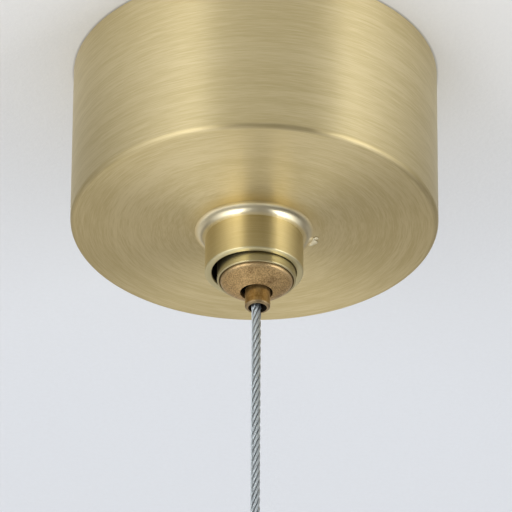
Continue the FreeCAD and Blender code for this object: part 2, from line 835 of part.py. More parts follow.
def make_all():
    make_ceiling_bracket()
    make_nut("bracket_nut_lower", f"{WEB_FACE} - nut_thickness")
    make_ring("bracket_lock_washer", "stem_radius + stem_hole_clearance", "washer_radius",
              WEB_TOP, f"{WEB_TOP} + washer_thickness")
    make_nut("bracket_nut_upper", f"{WEB_TOP} + washer_thickness")
    make_threaded_stem()
    make_rope_guide()
    make_canopy_cup()
    make_canopy_neck()
    make_neck_solder()
    make_gripper_sleeve()
    make_clamp_body()
    make_plunger()
    make_clamp_balls()
    make_release_spring()
    make_straight_rope("rope_drop", NIPPLE_TOP, BALL_HEIGHT)
    make_straight_rope("rope_gripped", BALL_HEIGHT, GUIDE_TOP)
    make_rope_tail(*make_coil_and_stop())
    make_ring("swivel_washer", f"{ROPE_RADIUS} + cap_hole_clearance", "nipple_radius",
              NIPPLE_TOP, CAP_SHOULDER)
    make_rope_nipple()
    make_lamp_cap()
    make_lamp_grub_screw()
    document.recompute()


def check_all():
    """Stop at an object that failed, or a sub-part with a bad shape."""
    for item in document.Objects:
        if "Invalid" in item.State or "Error" in item.State:
            raise RuntimeError(f"{item.Label} is {item.State}")
    for name in NODES:
        shape = document.getObject(name).Shape
        if shape.isNull() or not shape.isValid() or not shape.Solids:
            raise RuntimeError(f"{name} has a bad shape")


def export_all():
    os.makedirs("parts", exist_ok=True)
    for name in NODES:
        shape = document.getObject(name).Shape
        shape.exportStep(os.path.join("parts", name + ".step"))
        box = shape.BoundBox
        print(f"{name:20s} solids {len(shape.Solids)} volume {shape.Volume:9.2f}"
              f" z {box.ZMin:8.2f} {box.ZMax:8.2f}")


fill_sheet()
make_all()
check_all()
export_all()
print(f"ball height {number(BALL_HEIGHT):.3f} spring seat {number(SPRING_SEAT):.3f}")
print(f"plunger tip {number(PLUNGER_TIP):.3f} cap top {number(CAP_TOP):.3f}")
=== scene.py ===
"""Looks of the ceiling end of a rise and fall pendant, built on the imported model's frame.

Metres. The ceiling is the plane z = 0, and the rope hangs down the Z axis.
"""

import bmesh
import bpy
import json
import math
from bpy.props import FloatProperty, FloatVectorProperty, IntProperty, PointerProperty
from mathutils import Matrix, Vector


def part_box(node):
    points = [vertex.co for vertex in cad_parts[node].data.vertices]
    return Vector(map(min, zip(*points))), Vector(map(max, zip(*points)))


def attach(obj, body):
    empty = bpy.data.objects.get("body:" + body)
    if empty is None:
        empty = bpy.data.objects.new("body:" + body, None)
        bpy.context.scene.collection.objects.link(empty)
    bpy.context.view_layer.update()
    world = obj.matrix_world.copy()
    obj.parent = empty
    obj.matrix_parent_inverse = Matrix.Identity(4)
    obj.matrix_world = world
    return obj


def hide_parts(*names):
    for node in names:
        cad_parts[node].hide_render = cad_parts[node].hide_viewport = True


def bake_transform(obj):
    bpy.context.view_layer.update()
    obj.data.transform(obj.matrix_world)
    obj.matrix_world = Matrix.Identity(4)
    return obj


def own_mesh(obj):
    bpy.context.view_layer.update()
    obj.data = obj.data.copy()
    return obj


bl_info = {
    "name": "Rise and Fall Pendant",
    "version": (1, 0, 0),
    "blender": (4, 5, 0),
    "location": "View3D > Sidebar > Pendant",
    "description": "Makes the brass cup, wire rope gripper and rope of a pendant's ceiling end",
    "category": "Add Mesh",
}

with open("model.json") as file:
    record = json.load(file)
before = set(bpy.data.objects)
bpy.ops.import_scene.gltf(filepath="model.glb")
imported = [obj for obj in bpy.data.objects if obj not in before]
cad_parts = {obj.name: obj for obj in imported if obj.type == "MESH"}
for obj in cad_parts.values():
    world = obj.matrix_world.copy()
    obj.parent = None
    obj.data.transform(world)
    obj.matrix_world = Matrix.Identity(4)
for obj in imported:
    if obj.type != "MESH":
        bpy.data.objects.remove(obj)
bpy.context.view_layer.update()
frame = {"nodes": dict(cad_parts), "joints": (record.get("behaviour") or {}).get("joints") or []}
CUP_LOW, CUP_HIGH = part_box("canopy_cup")
NECK_LOW, NECK_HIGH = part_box("canopy_neck")
SOLDER_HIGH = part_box("neck_solder")[1]
SLEEVE_LOW, SLEEVE_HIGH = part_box("gripper_sleeve")
BODY_LOW, BODY_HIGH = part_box("clamp_body")
PLUNGER_LOW, PLUNGER_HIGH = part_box("plunger")
STEM_LOW, STEM_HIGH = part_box("threaded_stem")
CAP_LOW, CAP_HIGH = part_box("lamp_cap")
NIPPLE_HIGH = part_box("rope_nipple")[1]

CUP_CENTRE = (CUP_LOW.x + CUP_HIGH.x) / 2
CUP_RADIUS = CUP_HIGH.x - CUP_CENTRE
NECK_RADIUS = NECK_HIGH.x - CUP_CENTRE
PLUNGER_CENTRE = (PLUNGER_LOW.x + PLUNGER_HIGH.x) / 2

MM = 0.001
TURN = 2 * math.pi


# ---------------------------------------------------------------- fixed sizes

# Points closer than this are the same point.
NEAR = 1e-6

SENSOR_WIDTH = 36
CEILING_REACH = 3
CEILING_GAP = 0.05 * MM

# Name, setting of its power, azimuth and elevation in degrees, distance, width and depth, and the
# end towards which it is brighter (0 for even).
SOFT_LAMPS = (
    ("Left lamp", "left_panel", -72, -24, 1.2, (2.2, 1.0), 1),
    ("Right lamp", "right_panel", 89, -20, 1.2, (1.95, 1.0), -1),
    ("Low lamp", "floor_panel", 190, -68, 1.7, (1.3, 1.6), 0),
)
FADE_PEAK = 2.85
FADE_POWER = 2.2

# Drops of solder spilt beside the neck: across, along and radius in millimetres.
SOLDER_DROPS = ((9.2, 2.3, 0.80), (9.7, 3.1, 0.70), (9.2, 3.8, 0.50), (10.1, 1.9, 0.40))
DROP_FLATNESS = 0.13

SLEEVE_CHAMFER = 0.15 * MM

BODY_BORE = 4.23 * MM
TAPER_TOP = -34.9 * MM
TAPER_END = -40.7 * MM
TAPER_END_RADIUS = 2.75 * MM

PLUNGER_BORE = 1.0 * MM
PLUNGER_MOUTH = 1.5 * MM
PLUNGER_LIP = 1.8 * MM
PLUNGER_RADIUS = 2.05 * MM
CAGE_RADIUS = 2.5 * MM
CAGE_FOOT = -40.4 * MM

SPRING_WIRE = 0.4 * MM
SPRING_TURNS = 7
SPRING_STEPS_PER_TURN = 32

STEM_FOOT_RADIUS = 4.2 * MM
STEM_FOOT_BORE = 2.6 * MM
STEM_FOOT_BORE_TOP = -25.14 * MM
STEM_ROPE_BORE = 1.1 * MM
STEM_GUIDE_BORE = 2.23 * MM
STEM_GUIDE_DEPTH = 2.5 * MM

WASHER_BORE = 5.15 * MM
WASHER_CLOSED = 0.97
NUT_BORE_PLAY = 0.03 * MM
NUT_CHAMFER_TILT = math.radians(30)

CAP_HOLE = 1.05 * MM
CAP_HOLE_DEPTH = 3 * MM
CAP_WELL = 2.3 * MM
CAP_THREAD_LENGTH = 7.5 * MM
CAP_THREAD_RADIUS = 4.46 * MM

GRUB_SOCKET_RADIUS = 0.85 * MM
GRUB_SOCKET_DEPTH = 1.0 * MM

# The crimped stop, in millimetres.
STOP_RADIUS = 1.45
STOP_END_RADIUS = 1.15
STOP_PRESSED = 1.2
STOP_CRIMPS = (0.9, 2.5, 4.1)

# The wire rope, in millimetres.
ROPE_DIAMETER = 1.5
WIRES_PER_STRAND = 6
CORE_FULLNESS = 1.12
DROP_STEP = 0.4


# ---------------------------------------------------------------- tones that no setting holds

PLAIN_GREY = (0.60, 0.60, 0.60)
LOW_WALL = (0.10, 0.095, 0.085)
# Painted contact shadow on the ceiling round the cup's rim.
CEILING_CONTACT_SHADOW = (0.24, 0.22, 0.19)
# Painted reflection of the neck on the cup's floor.
NECK_REFLECTION_BRASS = (0.78, 0.60, 0.24)
STAINED_BRASS = (0.42, 0.30, 0.14)
NECK_STROKES = (0.655, 0.54, 0.262), (0.735, 0.62, 0.33)
NECK_RIM = (0.78, 0.71, 0.44)
NECK_BORE_SHADE = (0.035, 0.028, 0.015)
SOLDER_BRUSHED = (0.67, 0.55, 0.305), (0.76, 0.64, 0.375)
SOLDER_WIPED = (0.82, 0.74, 0.51), (0.90, 0.83, 0.61)
SLEEVE_STROKES = (0.53, 0.46, 0.26), (0.64, 0.565, 0.33)
# Painted shade inside the sleeve.
SLEEVE_INSIDE_SHADE = (0.12, 0.095, 0.045)
BRONZE_GRAIN = (0.70, 0.49, 0.24)
BRONZE_PIT = (0.12, 0.06, 0.025)
# Painted highlight round the dome's edge.
BRONZE_EDGE_HIGHLIGHT = (0.62, 0.46, 0.25)
# Painted shade in the gap under the sleeve.
BRONZE_GAP_SHADE = (0.10, 0.065, 0.025)
# Painted shade in the recess round the plunger.
BRONZE_RECESS_SHADE = (0.02, 0.013, 0.007)
PLUNGER_PATCH = (0.42, 0.27, 0.10)
# Painted shade in the plunger's mouth and in the body's hole.
PLUNGER_HOLE_SHADE = (0.012, 0.009, 0.006)
WIRE_ZINC = (0.56, 0.62, 0.66)
NUT_ZINC = (0.58, 0.55, 0.44)
# Painted shade in the thread's roots, painted highlight on its crests.
THREAD_ROOT_SHADE = (0.40, 0.29, 0.12)
THREAD_CREST_HIGHLIGHT = (0.80, 0.66, 0.36)
TARNISHED_COPPER = (0.34, 0.15, 0.09)
BALL_STEEL = (0.62, 0.63, 0.64)
SPRING_STEEL = (0.50, 0.50, 0.50)
NIPPLE_STEEL = (0.55, 0.56, 0.57)
BLACK_STEEL = (0.09, 0.09, 0.095)


# ---------------------------------------------------------------- sizes and colours

def length(name, description, default):
    return FloatProperty(name=name, description=description, default=default, min=0,
                         subtype="DISTANCE", unit="LENGTH", precision=5)


def share(name, description, default):
    return FloatProperty(name=name, description=description, default=default, min=0, max=1,
                         subtype="FACTOR")


def colour(name, description, default):
    return FloatVectorProperty(name=name, description=description, default=default, size=3,
                               min=0, max=1, subtype="COLOR")


def angle(name, description, degrees):
    return FloatProperty(name=name, description=description, default=math.radians(degrees),
                         subtype="ANGLE", unit="ROTATION")


def power(name, description, default):
    return FloatProperty(name=name, description=description, default=default, min=0,
                         subtype="POWER", unit="POWER")


def group(kind, name, description):
    return PointerProperty(type=kind, name=name, description=description)


class StageSettings(bpy.types.PropertyGroup):
    camera_distance: length("Camera distance", "From the camera to the point it aims at", 1.0329)
    camera_elevation: angle("Camera elevation", "Angle that the camera looks up by", 31.73)
    camera_roll: angle("Camera roll", "Tilt of the picture", 0.35)
    camera_aim: FloatVectorProperty(name="Camera aim", description="Point in the picture's middle",
                                    default=(-0.00010, 0, -0.03502), subtype="TRANSLATION")
    camera_lens: FloatProperty(name="Lens", description="Focal length in millimetres",
                               default=447.1, min=1, subtype="DISTANCE_CAMERA")
    ceiling_near: colour("Ceiling near", "Paint on the camera's side", (0.76, 0.76, 0.755))
    ceiling_far: colour("Ceiling far", "Paint beyond the pendant", (0.72, 0.745, 0.79))
    ceiling_shade: colour("Ceiling shade", "Paint further towards the camera", (0.64, 0.63, 0.59))
    ceiling_side: colour("Ceiling beside", "Paint on both sides, as the brass mirrors it",
                         (0.44, 0.43, 0.41))
    room_near: colour("Near room", "Dim room on the camera's side and beside it",
                      (0.335, 0.32, 0.295))
    room_right: colour("Right room", "Dimmer room on the right", (0.11, 0.102, 0.09))
    room_far: colour("Far room", "Paler room beyond the pendant", (0.74, 0.70, 0.635))
    room_far_right: colour("Far right room", "Room beyond the pendant on the right",
                           (0.44, 0.415, 0.375))
    room_horizon: colour("Room's horizon", "Dark walls under the ceiling", (0.13, 0.12, 0.11))
    fade: share("Lamp fade", "How much the side lamps fade away from the camera", 1.0)
    left_panel: power("Left lamp", "Power of the left soft lamp", 11.1)
    right_panel: power("Right lamp", "Power of the right soft lamp", 11.0)
    floor_panel: power("Low lamp", "Power of the soft lamp below", 5.6)


class CanopySettings(bpy.types.PropertyGroup):
    wall: length("Wall", "Thickness of the sheet brass", 1.0 * MM)
    edge_rounding: length("Edge rounding", "Radius round the cup's lower edge", 0.9 * MM)
    floor_sag: length("Floor sag", "How far the floor sags from its edge to the neck", 0.6 * MM)
    floor_pull: length("Floor pull", "How far the soldering pulled the floor down at the neck",
                       0.4 * MM)
    floor_flat: length("Floor flat", "Radius of the floor's level middle", 10.0 * MM)
    rim_rounding: length("Rim rounding", "Radius on the rim at the ceiling", 0.2 * MM)
    spigot_step: length("Spigot step", "How far the neck's spigot is turned down", 0.4 * MM)
    neck_bore: length("Neck bore", "Radius of the bore round the gripper", 6.9 * MM)
    neck_rim_rounding: length("Neck rim rounding", "Radius on the neck's rim", 0.25 * MM)
    ledge_bore: length("Ledge bore", "Radius of the hole in the neck's ledge", 5.6 * MM)
    ledge_thickness: length("Ledge thickness", "Thickness of the neck's ledge", 1.5 * MM)
    solder_leg: length("Solder leg", "Size of the solder fillet along the neck and the floor",
                       1.7 * MM)
    solder_land: length("Solder land", "Thickness of the fillet's thin ends", 0.02 * MM)
    brass_light: colour("Light brass", "Raised strokes of the brushing", (0.765, 0.655, 0.395))
    brass_dark: colour("Dark brass", "Low strokes of the brushing", (0.655, 0.545, 0.288))
    brass_inside: colour("Inner brass", "Drawn brass that was never brushed", (0.60, 0.46, 0.22))
    roughness: share("Roughness", "Roughness of the brushed brass", 0.42)
    brushing: share("Brushing", "How much the strokes stretch a reflection", 0.84)


class GripperSettings(bpy.types.PropertyGroup):
    sleeve_wall: length("Sleeve wall", "Thickness of the sleeve at its edge", 0.45 * MM)
    sleeve_bore: length("Sleeve bore", "Radius of the sleeve's threaded top", 5.03 * MM)
    sleeve_top: length("Sleeve top", "Thickness of the sleeve's top", 1.1 * MM)
    dome_land: length("Dome land", "Straight part of the body below the sleeve", 0.25 * MM)
    dome_rounding: length("Dome rounding", "Radius round the dome's edge", 0.3 * MM)
    dome_mouth: length("Dome mouth", "Radius of the dome's hole at its edge", 2.65 * MM)
    recess_step: length("Recess step", "How far the recess is wider than the dome's hole", 0.3 * MM)
    recess_depth: length("Recess depth", "Depth of the recess in the dome's end", 0.7 * MM)
    bronze_light: colour("Light bronze", "Cast bronze where it is bare", (0.39, 0.26, 0.115))
    bronze_dark: colour("Dark bronze", "Cast bronze where it is stained", (0.20, 0.115, 0.05))
    plunger_light: colour("Light plunger", "Plunger where hands have rubbed it",
                          (0.38, 0.285, 0.165))
    plunger_dark: colour("Dark plunger", "Plunger where it is stained", (0.26, 0.15, 0.045))
    pits_per_metre: FloatProperty(name="Pits", description="How close the casting's pits lie",
                                  default=2600, min=0)


class RopeSettings(bpy.types.PropertyGroup):
    diameter: length("Diameter", "Diameter over the strands", ROPE_DIAMETER * MM)
    fullness: FloatProperty(name="Fullness", default=1.06, min=0,
                            description="Size of a strand against a sixth of the diameter")
    strand_lay: length("Strand lay", "Length in which a strand goes once round the rope", 9.8 * MM)
    wire_lay: length("Wire lay", "Length in which a wire goes once round its strand", 9.0 * MM)
    strands: IntProperty(name="Strands", description="Strands round the core", default=6, min=3)
    steel_light: colour("Light steel", "Top of the galvanised wires", (0.66, 0.72, 0.76))
    # Painted shade and partly grease, between the strands and between the wires.
    steel_shade_and_grease: colour("Dark steel", "Greasy wire between the strands", (0.10, 0.105, 0.11))


class FittingSettings(bpy.types.PropertyGroup):
    thread_pitch: length("Thread pitch", "Pitch of the stem's fine thread", 1.0 * MM)
    thread_depth: length("Thread depth", "Depth of the stem's fine thread", 0.55 * MM)
    nut_chamfer: length("Nut chamfer", "Height of the chamfer at a nut's corners", 0.5 * MM)
    zinc: colour("Zinc", "Bright zinc on the bracket", (0.56, 0.58, 0.60))
    nylon: colour("Nylon", "Natural nylon", (0.78, 0.76, 0.68))
    copper: colour("Copper", "Crimped copper stop", (0.72, 0.36, 0.20))


class PendantSettings(bpy.types.PropertyGroup):
    stage: group(StageSettings, "Stage", "Camera, lamps and ceiling")
    canopy: group(CanopySettings, "Canopy", "Cup, neck and solder")
    gripper: group(GripperSettings, "Gripper", "Sleeve, body and plunger")
    rope: group(RopeSettings, "Rope", "Wire rope")
    fittings: group(FittingSettings, "Fittings", "Bracket, stem, stop and lamp's end")


# ---------------------------------------------------------------- shader maths

class Number:
    """A number in a node tree. Arithmetic on it adds Math nodes."""

    def __init__(self, nodes, socket):
        self.nodes = nodes
        self.socket = socket

    def __add__(self, other):
        return self.nodes.math("ADD", self, other)

    def __sub__(self, other):
        return self.nodes.math("SUBTRACT", self, other)

    def __rsub__(self, other):
        return self.nodes.math("SUBTRACT", other, self)

    def __mul__(self, other):
        return self.nodes.math("MULTIPLY", self, other)

    def __truediv__(self, other):
        return self.nodes.math("DIVIDE", self, other)

    def __pow__(self, other):
        return self.nodes.math("POWER", self, other)

    __radd__ = __add__
    __rmul__ = __mul__


class Nodes:
    """Fills a node tree."""

    def __init__(self, tree):
        self.tree = tree
        tree.nodes.clear()

    def add(self, kind, settings=None, sockets=None):
        """Add a node of any type, with its settings, and the values or links of its sockets."""
        node = self.tree.nodes.new("ShaderNode" + kind)
        for name, value in (settings or {}).items():
            setattr(node, name, value)
        for name, value in (sockets or {}).items():
            if isinstance(value, Number):
                value = value.socket
            if isinstance(value, bpy.types.NodeSocket):
                self.tree.links.new(value, node.inputs[name])
            elif hasattr(value, "__len__") and node.inputs[name].type == "RGBA":
                node.inputs[name].default_value = (*value[:3], 1)
            else:
                node.inputs[name].default_value = value
        return node

    def math(self, operation, *values):
        node = self.add("Math", {"operation": operation}, dict(enumerate(values)))
        return Number(self, node.outputs[0])

    def between(self, value, low, high):
        """Return 0 below low and 1 above high, smoothly joined."""
        node = self.add("MapRange", {"interpolation_type": "SMOOTHSTEP"},
                        {"Value": value, "From Min": low, "From Max": high})
        return Number(self, node.outputs[0])

    def mix(self, amount, first, second):
        """Mix two colours."""
        node = self.add("Mix", {"data_type": "RGBA"}, {0: amount, 6: first, 7: second})
        return node.outputs[2]

    def vector(self, x, y, z):
        return self.add("CombineXYZ", None, {0: x, 1: y, 2: z}).outputs[0]

    def parts(self, vector):
        """Return a vector's three numbers."""
        split = self.add("SeparateXYZ", None, {0: vector})
        return [Number(self, socket) for socket in split.outputs]

    def rays(self, *kinds):
        """Return 1 on rays of any of the kinds, and 0 on the others."""
        paths = self.add("LightPath").outputs
        found = [Number(self, paths[f"Is {kind} Ray"]) for kind in kinds]
        while len(found) > 1:
            found.append(self.math("MAXIMUM", found.pop(), found.pop()))
        return found[0]

    def noise(self, vector, scale, detail=2.0, roughness=0.5):
        node = self.add("TexNoise", None, {"Vector": vector, "Scale": scale, "Detail": detail,
                                           "Roughness": roughness})
        return Number(self, node.outputs["Fac"])

    def cells(self, vector, scale):
        node = self.add("TexVoronoi", None, {"Vector": vector, "Scale": scale})
        return Number(self, node.outputs["Distance"])

    def place(self):
        """Return the object's own coordinates."""
        return self.add("TexCoord").outputs["Object"]

    def bump(self, height, distance):
        return self.add("Bump", None, {"Height": height, "Distance": distance}).outputs[0]


class Turned:
    """Coordinates round a vertical axis: radius, height and a unit direction."""

    def __init__(self, nodes, centre_x=0.0):
        self.nodes = nodes
        x, y, self.height = nodes.parts(nodes.place())
        x = x - centre_x
        self.radius = (x * x + y * y) ** 0.5
        self.across = x / self.radius
        self.along = y / self.radius

    def strokes(self, lines_per_metre, bend, detail=3.0):
        """Return brush strokes that run round the axis. A larger bend makes them shorter."""
        lane = (self.radius + self.height * 1.3) * lines_per_metre
        vector = self.nodes.vector(self.across * bend, self.along * bend, lane)
        return self.nodes.noise(vector, 1.0, detail, 0.6)


def finish(name, paint, *settings):
    """Make a material. paint takes its Nodes and the settings, and returns the shader's sockets."""
    material = bpy.data.materials.new(name)
    material.use_nodes = True
    nodes = Nodes(material.node_tree)
    shader = nodes.add("BsdfPrincipled", None, paint(nodes, *settings))
    nodes.add("OutputMaterial", None, {"Surface": shader.outputs[0]})
    return material


# ---------------------------------------------------------------- finishes

def brushed_cup(nodes, canopy):
    """Brass brushed round its axis, bare and duller inside the cup, with a painted reflection of
    the neck on the floor in front of it.
    """
    floor = CUP_LOW.z + canopy.floor_sag + canopy.wall / 2
    inner_wall = CUP_RADIUS - canopy.wall / 2
    solder_reach = SOLDER_HIGH.x - CUP_CENTRE
    cup = Turned(nodes, CUP_CENTRE)
    fine = cup.strokes(5400, 7.0)
    broad = cup.strokes(1700, 4.0, 2.0)
    haze = nodes.noise(nodes.place(), 55, 2.0)
    rings = cup.strokes(520, 0.6, 2.0)
    tone = nodes.between(fine * 0.5 + broad * 0.2 + rings * 0.3, 0.37, 0.63)
    brushed = nodes.mix(tone, canopy.brass_dark, canopy.brass_light)
    # A painted reflection: the floor beside the solder, on the camera's side only, is tinted warm
    # as if it mirrored the neck.
    neck_reflection = (nodes.between(cup.radius, solder_reach + 3.4 * MM, solder_reach)
              * nodes.between(cup.along, 0.2, -0.9))
    brushed = nodes.mix(neck_reflection * 0.6, brushed, NECK_REFLECTION_BRASS)
    inside = (nodes.between(cup.height, floor, floor + 0.1 * MM)
              * nodes.between(cup.radius, inner_wall + 0.1 * MM, inner_wall))
    stain = nodes.between(nodes.noise(nodes.place(), 160, 4.0, 0.6), 0.35, 0.7)
    bare = nodes.mix(stain, canopy.brass_inside, STAINED_BRASS)
    edge = (nodes.between(cup.height, floor + 0.4 * MM, floor + 0.1 * MM)
            * nodes.between(cup.radius, CUP_RADIUS - 0.8 * MM, CUP_RADIUS - 0.4 * MM))
    rough = canopy.roughness + (haze - 0.5) * 0.08 + inside * 0.1 + edge * 0.06
    return {
        "Base Color": nodes.mix(inside, brushed, bare),
        "Metallic": 1.0,
        "Roughness": rough + (fine - 0.5) * 0.1,
        "Anisotropic": canopy.brushing,
        "Anisotropic Rotation": 0.25,
        "Normal": nodes.bump(fine + broad * 0.4, 0.004 * MM),
    }


def brushed_neck(nodes, canopy):
    """Turned brass, finely brushed, with a brighter rim and a dark bore."""
    neck = Turned(nodes, CUP_CENTRE)
    fine = neck.strokes(5200, 1.4)
    broad = neck.strokes(1400, 0.8, 2.0)
    tone = nodes.between(fine * 0.7 + broad * 0.3, 0.28, 0.72)
    rim = nodes.between(neck.height, NECK_LOW.z + 0.3 * MM, NECK_LOW.z + 0.1 * MM)
    bore = (nodes.between(neck.radius, canopy.neck_bore + 0.1 * MM, canopy.neck_bore + 0.05 * MM)
            * nodes.between(neck.height, NECK_LOW.z + 0.2 * MM, NECK_LOW.z + 0.5 * MM))
    wall = nodes.mix(tone, *NECK_STROKES)
    return {
        "Base Color": nodes.mix(bore, nodes.mix(rim, wall, NECK_RIM), NECK_BORE_SHADE),
        "Metallic": 1.0,
        "Roughness": 0.46 - rim * 0.08 + (fine - 0.5) * 0.06,
        "Anisotropic": 0.8,
        "Anisotropic Rotation": 0.25,
        "Normal": nodes.bump(fine + broad, 0.002 * MM),
    }


def brushed_cap(nodes, canopy):
    """Brass brushed round its axis, on the lamp's end."""
    fine = Turned(nodes).strokes(4200, 1.6)
    tone = nodes.between(fine, 0.3, 0.7)
    return {
        "Base Color": nodes.mix(tone, canopy.brass_dark, canopy.brass_light),
        "Metallic": 1.0,
        "Roughness": 0.4 + (fine - 0.5) * 0.1,
        "Anisotropic": canopy.brushing,
        "Anisotropic Rotation": 0.25,
        "Normal": nodes.bump(fine, 0.004 * MM),
    }


def polished_solder(nodes, canopy):
    """Hard solder, bright where it was wiped and on its spilt drops."""
    place = nodes.place()
    solder = Turned(nodes, CUP_CENTRE)
    ripple = nodes.noise(place, 700, 3.0)
    strokes = solder.strokes(4200, 2.4)
    reach = NECK_RADIUS + canopy.solder_leg
    drops = nodes.between(solder.radius, reach + 0.05 * MM, reach + 0.12 * MM)
    wiped = nodes.math("MAXIMUM", nodes.between(solder.radius, reach, reach - 0.8 * MM), drops)
    brass = nodes.mix(strokes, *SOLDER_BRUSHED)
    bright = nodes.mix(ripple, *SOLDER_WIPED)
    return {
        "Base Color": nodes.mix(wiped, brass, bright),
        "Metallic": 1.0,
        "Roughness": 0.38 - wiped * 0.10 + ripple * 0.05 + drops * 0.10,
        "Normal": nodes.bump(ripple + strokes * 0.3, 0.006 * MM),
    }


def satin_sleeve(nodes):
    """Satin brass, with painted shade on the sleeve's inner wall."""
    sleeve = Turned(nodes)
    fine = sleeve.strokes(6000, 1.6)
    # Painted shade: the inner wall, down in the gap round the body, is darkened.
    inner = nodes.between(sleeve.radius, SLEEVE_HIGH.x - 0.26 * MM, SLEEVE_HIGH.x - 0.34 * MM)
    wall = nodes.mix(fine, *SLEEVE_STROKES)
    return {
        "Base Color": nodes.mix(inner * 0.5, wall, SLEEVE_INSIDE_SHADE),
        "Metallic": 1.0,
        "Roughness": 0.30 + (fine - 0.5) * 0.10,
        "Anisotropic": 0.6,
        "Anisotropic Rotation": 0.25,
        "Normal": nodes.bump(fine, 0.003 * MM),
    }


def cast_bronze(nodes, gripper):
    """Bronze with a fine grain of pits, darker where it is stained, with a painted highlight round
    the dome's edge and painted shade under the sleeve and in the recess.
    """
    place = nodes.place()
    grain = nodes.noise(place, gripper.pits_per_metre * 1.6, 3.0, 0.65)
    patches = nodes.noise(place, 420, 3.0, 0.6)
    pits = nodes.between(nodes.cells(place, gripper.pits_per_metre), 0.34, 0.16)
    pits = pits * nodes.between(patches, 0.42, 0.62)
    body = Turned(nodes)
    # edge marks a painted highlight: a lighter line round the dome's edge.
    edge = nodes.between(body.radius, BODY_HIGH.x - 0.5 * MM, BODY_HIGH.x - 0.3 * MM)
    # land marks painted shade: a dark line in the thin gap under the sleeve.
    land = nodes.between(body.radius, BODY_HIGH.x - 0.1 * MM, BODY_HIGH.x - 0.03 * MM)
    # recess marks painted shade: black, dull and not metallic, in the recess round the plunger.
    recess = nodes.between(body.radius, gripper.dome_mouth + 0.03 * MM,
                           gripper.dome_mouth - 0.02 * MM)
    bare = nodes.mix(nodes.between(grain, 0.35, 0.65), gripper.bronze_light, BRONZE_GRAIN)
    stained = nodes.mix(nodes.between(patches, 0.5, 0.75) * 0.5, bare, gripper.bronze_dark)
    pitted = nodes.mix(pits * 0.75, stained, BRONZE_PIT)
    bright = nodes.mix(edge * 0.4, pitted, BRONZE_EDGE_HIGHLIGHT)
    gap_shaded = nodes.mix(land * 0.45, bright, BRONZE_GAP_SHADE)
    return {
        "Base Color": nodes.mix(recess, gap_shaded, BRONZE_RECESS_SHADE),
        "Metallic": 0.9 - recess * 0.9,
        "Roughness": 0.5 + (grain - 0.5) * 0.2 - edge * 0.1 + recess * 0.4,
        "IOR": 1.12,
        "Normal": nodes.bump(grain * 0.6 - pits, 0.03 * MM),
    }


def rubbed_bronze(nodes, gripper):
    """Dark bronze with its tip rubbed light, and painted shade in its mouth and where it sits in
    the body's hole.
    """
    plunger = Turned(nodes, PLUNGER_CENTRE)
    place = nodes.place()
    grain = nodes.noise(place, 3800, 3.0, 0.6)
    patches = nodes.noise(place, 900, 2.0)
    tip = nodes.between(plunger.height, PLUNGER_LOW.z + 0.55 * MM, PLUNGER_LOW.z + 0.2 * MM)
    # Painted shade, black and dull: in the mouth of the plunger's bore, and on the part inside the
    # body's hole.
    mouth = nodes.between(plunger.radius, PLUNGER_MOUTH + 0.06 * MM, PLUNGER_MOUTH - 0.02 * MM)
    inside_body = nodes.between(plunger.height, BODY_LOW.z + 0.1 * MM, BODY_LOW.z + 0.45 * MM)
    hole_shade = nodes.math("MAXIMUM", mouth, inside_body)
    stained = nodes.mix(nodes.between(patches + grain * 0.4, 0.45, 0.85),
                        gripper.plunger_dark, PLUNGER_PATCH)
    rubbed = nodes.mix(tip * 0.9, stained, gripper.plunger_light)
    return {
        "Base Color": nodes.mix(hole_shade, rubbed, PLUNGER_HOLE_SHADE),
        "Metallic": 0.9 - hole_shade * 0.9,
        "Roughness": 0.40 + (grain - 0.5) * 0.2 - tip * 0.06 + hole_shade * 0.5,
        "IOR": 1.12,
        "Normal": nodes.bump(grain, 0.02 * MM),
    }


def galvanised_wire(nodes, rope):
    """Drawn wire with thin zinc on it, dark between the strands with grease and painted shade."""
    place = nodes.place()
    depth = Turned(nodes).radius
    grain = nodes.noise(place, 2600, 3.0, 0.6)
    # crown is 0 between the strands, where the dark steel is painted shade and partly grease.
    crown = nodes.between(depth, rope.diameter * 0.29, rope.diameter * 0.46)
    zinc = nodes.mix(nodes.between(grain, 0.3, 0.7), WIRE_ZINC, rope.steel_light)
    return {
        "Base Color": nodes.mix(crown, rope.steel_shade_and_grease, zinc),
        "Metallic": 0.9,
        "Roughness": 0.24 + grain * 0.12,
        "Normal": nodes.bump(grain, 0.004 * MM),
    }


def stranded_wire(nodes, rope, strand_length):
    """The same wire where a strand is one tube: its wires lie along the tube's own UV map."""
    along, around, _ = nodes.parts(nodes.add("UVMap", {"uv_map": "UVMap"}).outputs[0])
    turns = around * WIRES_PER_STRAND + along * (strand_length / rope.wire_lay)
    wave = nodes.math("SINE", turns * TURN)
    # Between the wires the dark steel is painted shade and partly grease.
    crown = nodes.between(wave, -1.0, 0.2)
    grain = nodes.noise(nodes.place(), 2600, 3.0, 0.6)
    return {
        "Base Color": nodes.mix(crown, rope.steel_shade_and_grease, rope.steel_light),
        "Metallic": 0.9,
        "Roughness": 0.26 + grain * 0.12,
        "Normal": nodes.bump(crown, 0.03 * MM),
    }


def bright_zinc(nodes, tone, streaks):
    """Zinc plate with faint rolling streaks and dull patches."""
    x, y, z = nodes.parts(nodes.place())
    rolled = nodes.noise(nodes.vector(x * 60, y * streaks, z * streaks), 1.0, 3.0)
    patches = nodes.noise(nodes.place(), 240, 3.0, 0.6)
    dull = tuple(0.72 * part for part in tone)
    return {
        "Base Color": nodes.mix(nodes.between((rolled + patches) * 0.5, 0.35, 0.65), dull, tone),
        "Metallic": 1.0,
        "Roughness": 0.28 + patches * 0.2,
        "Normal": nodes.bump(rolled, 0.006 * MM),
    }


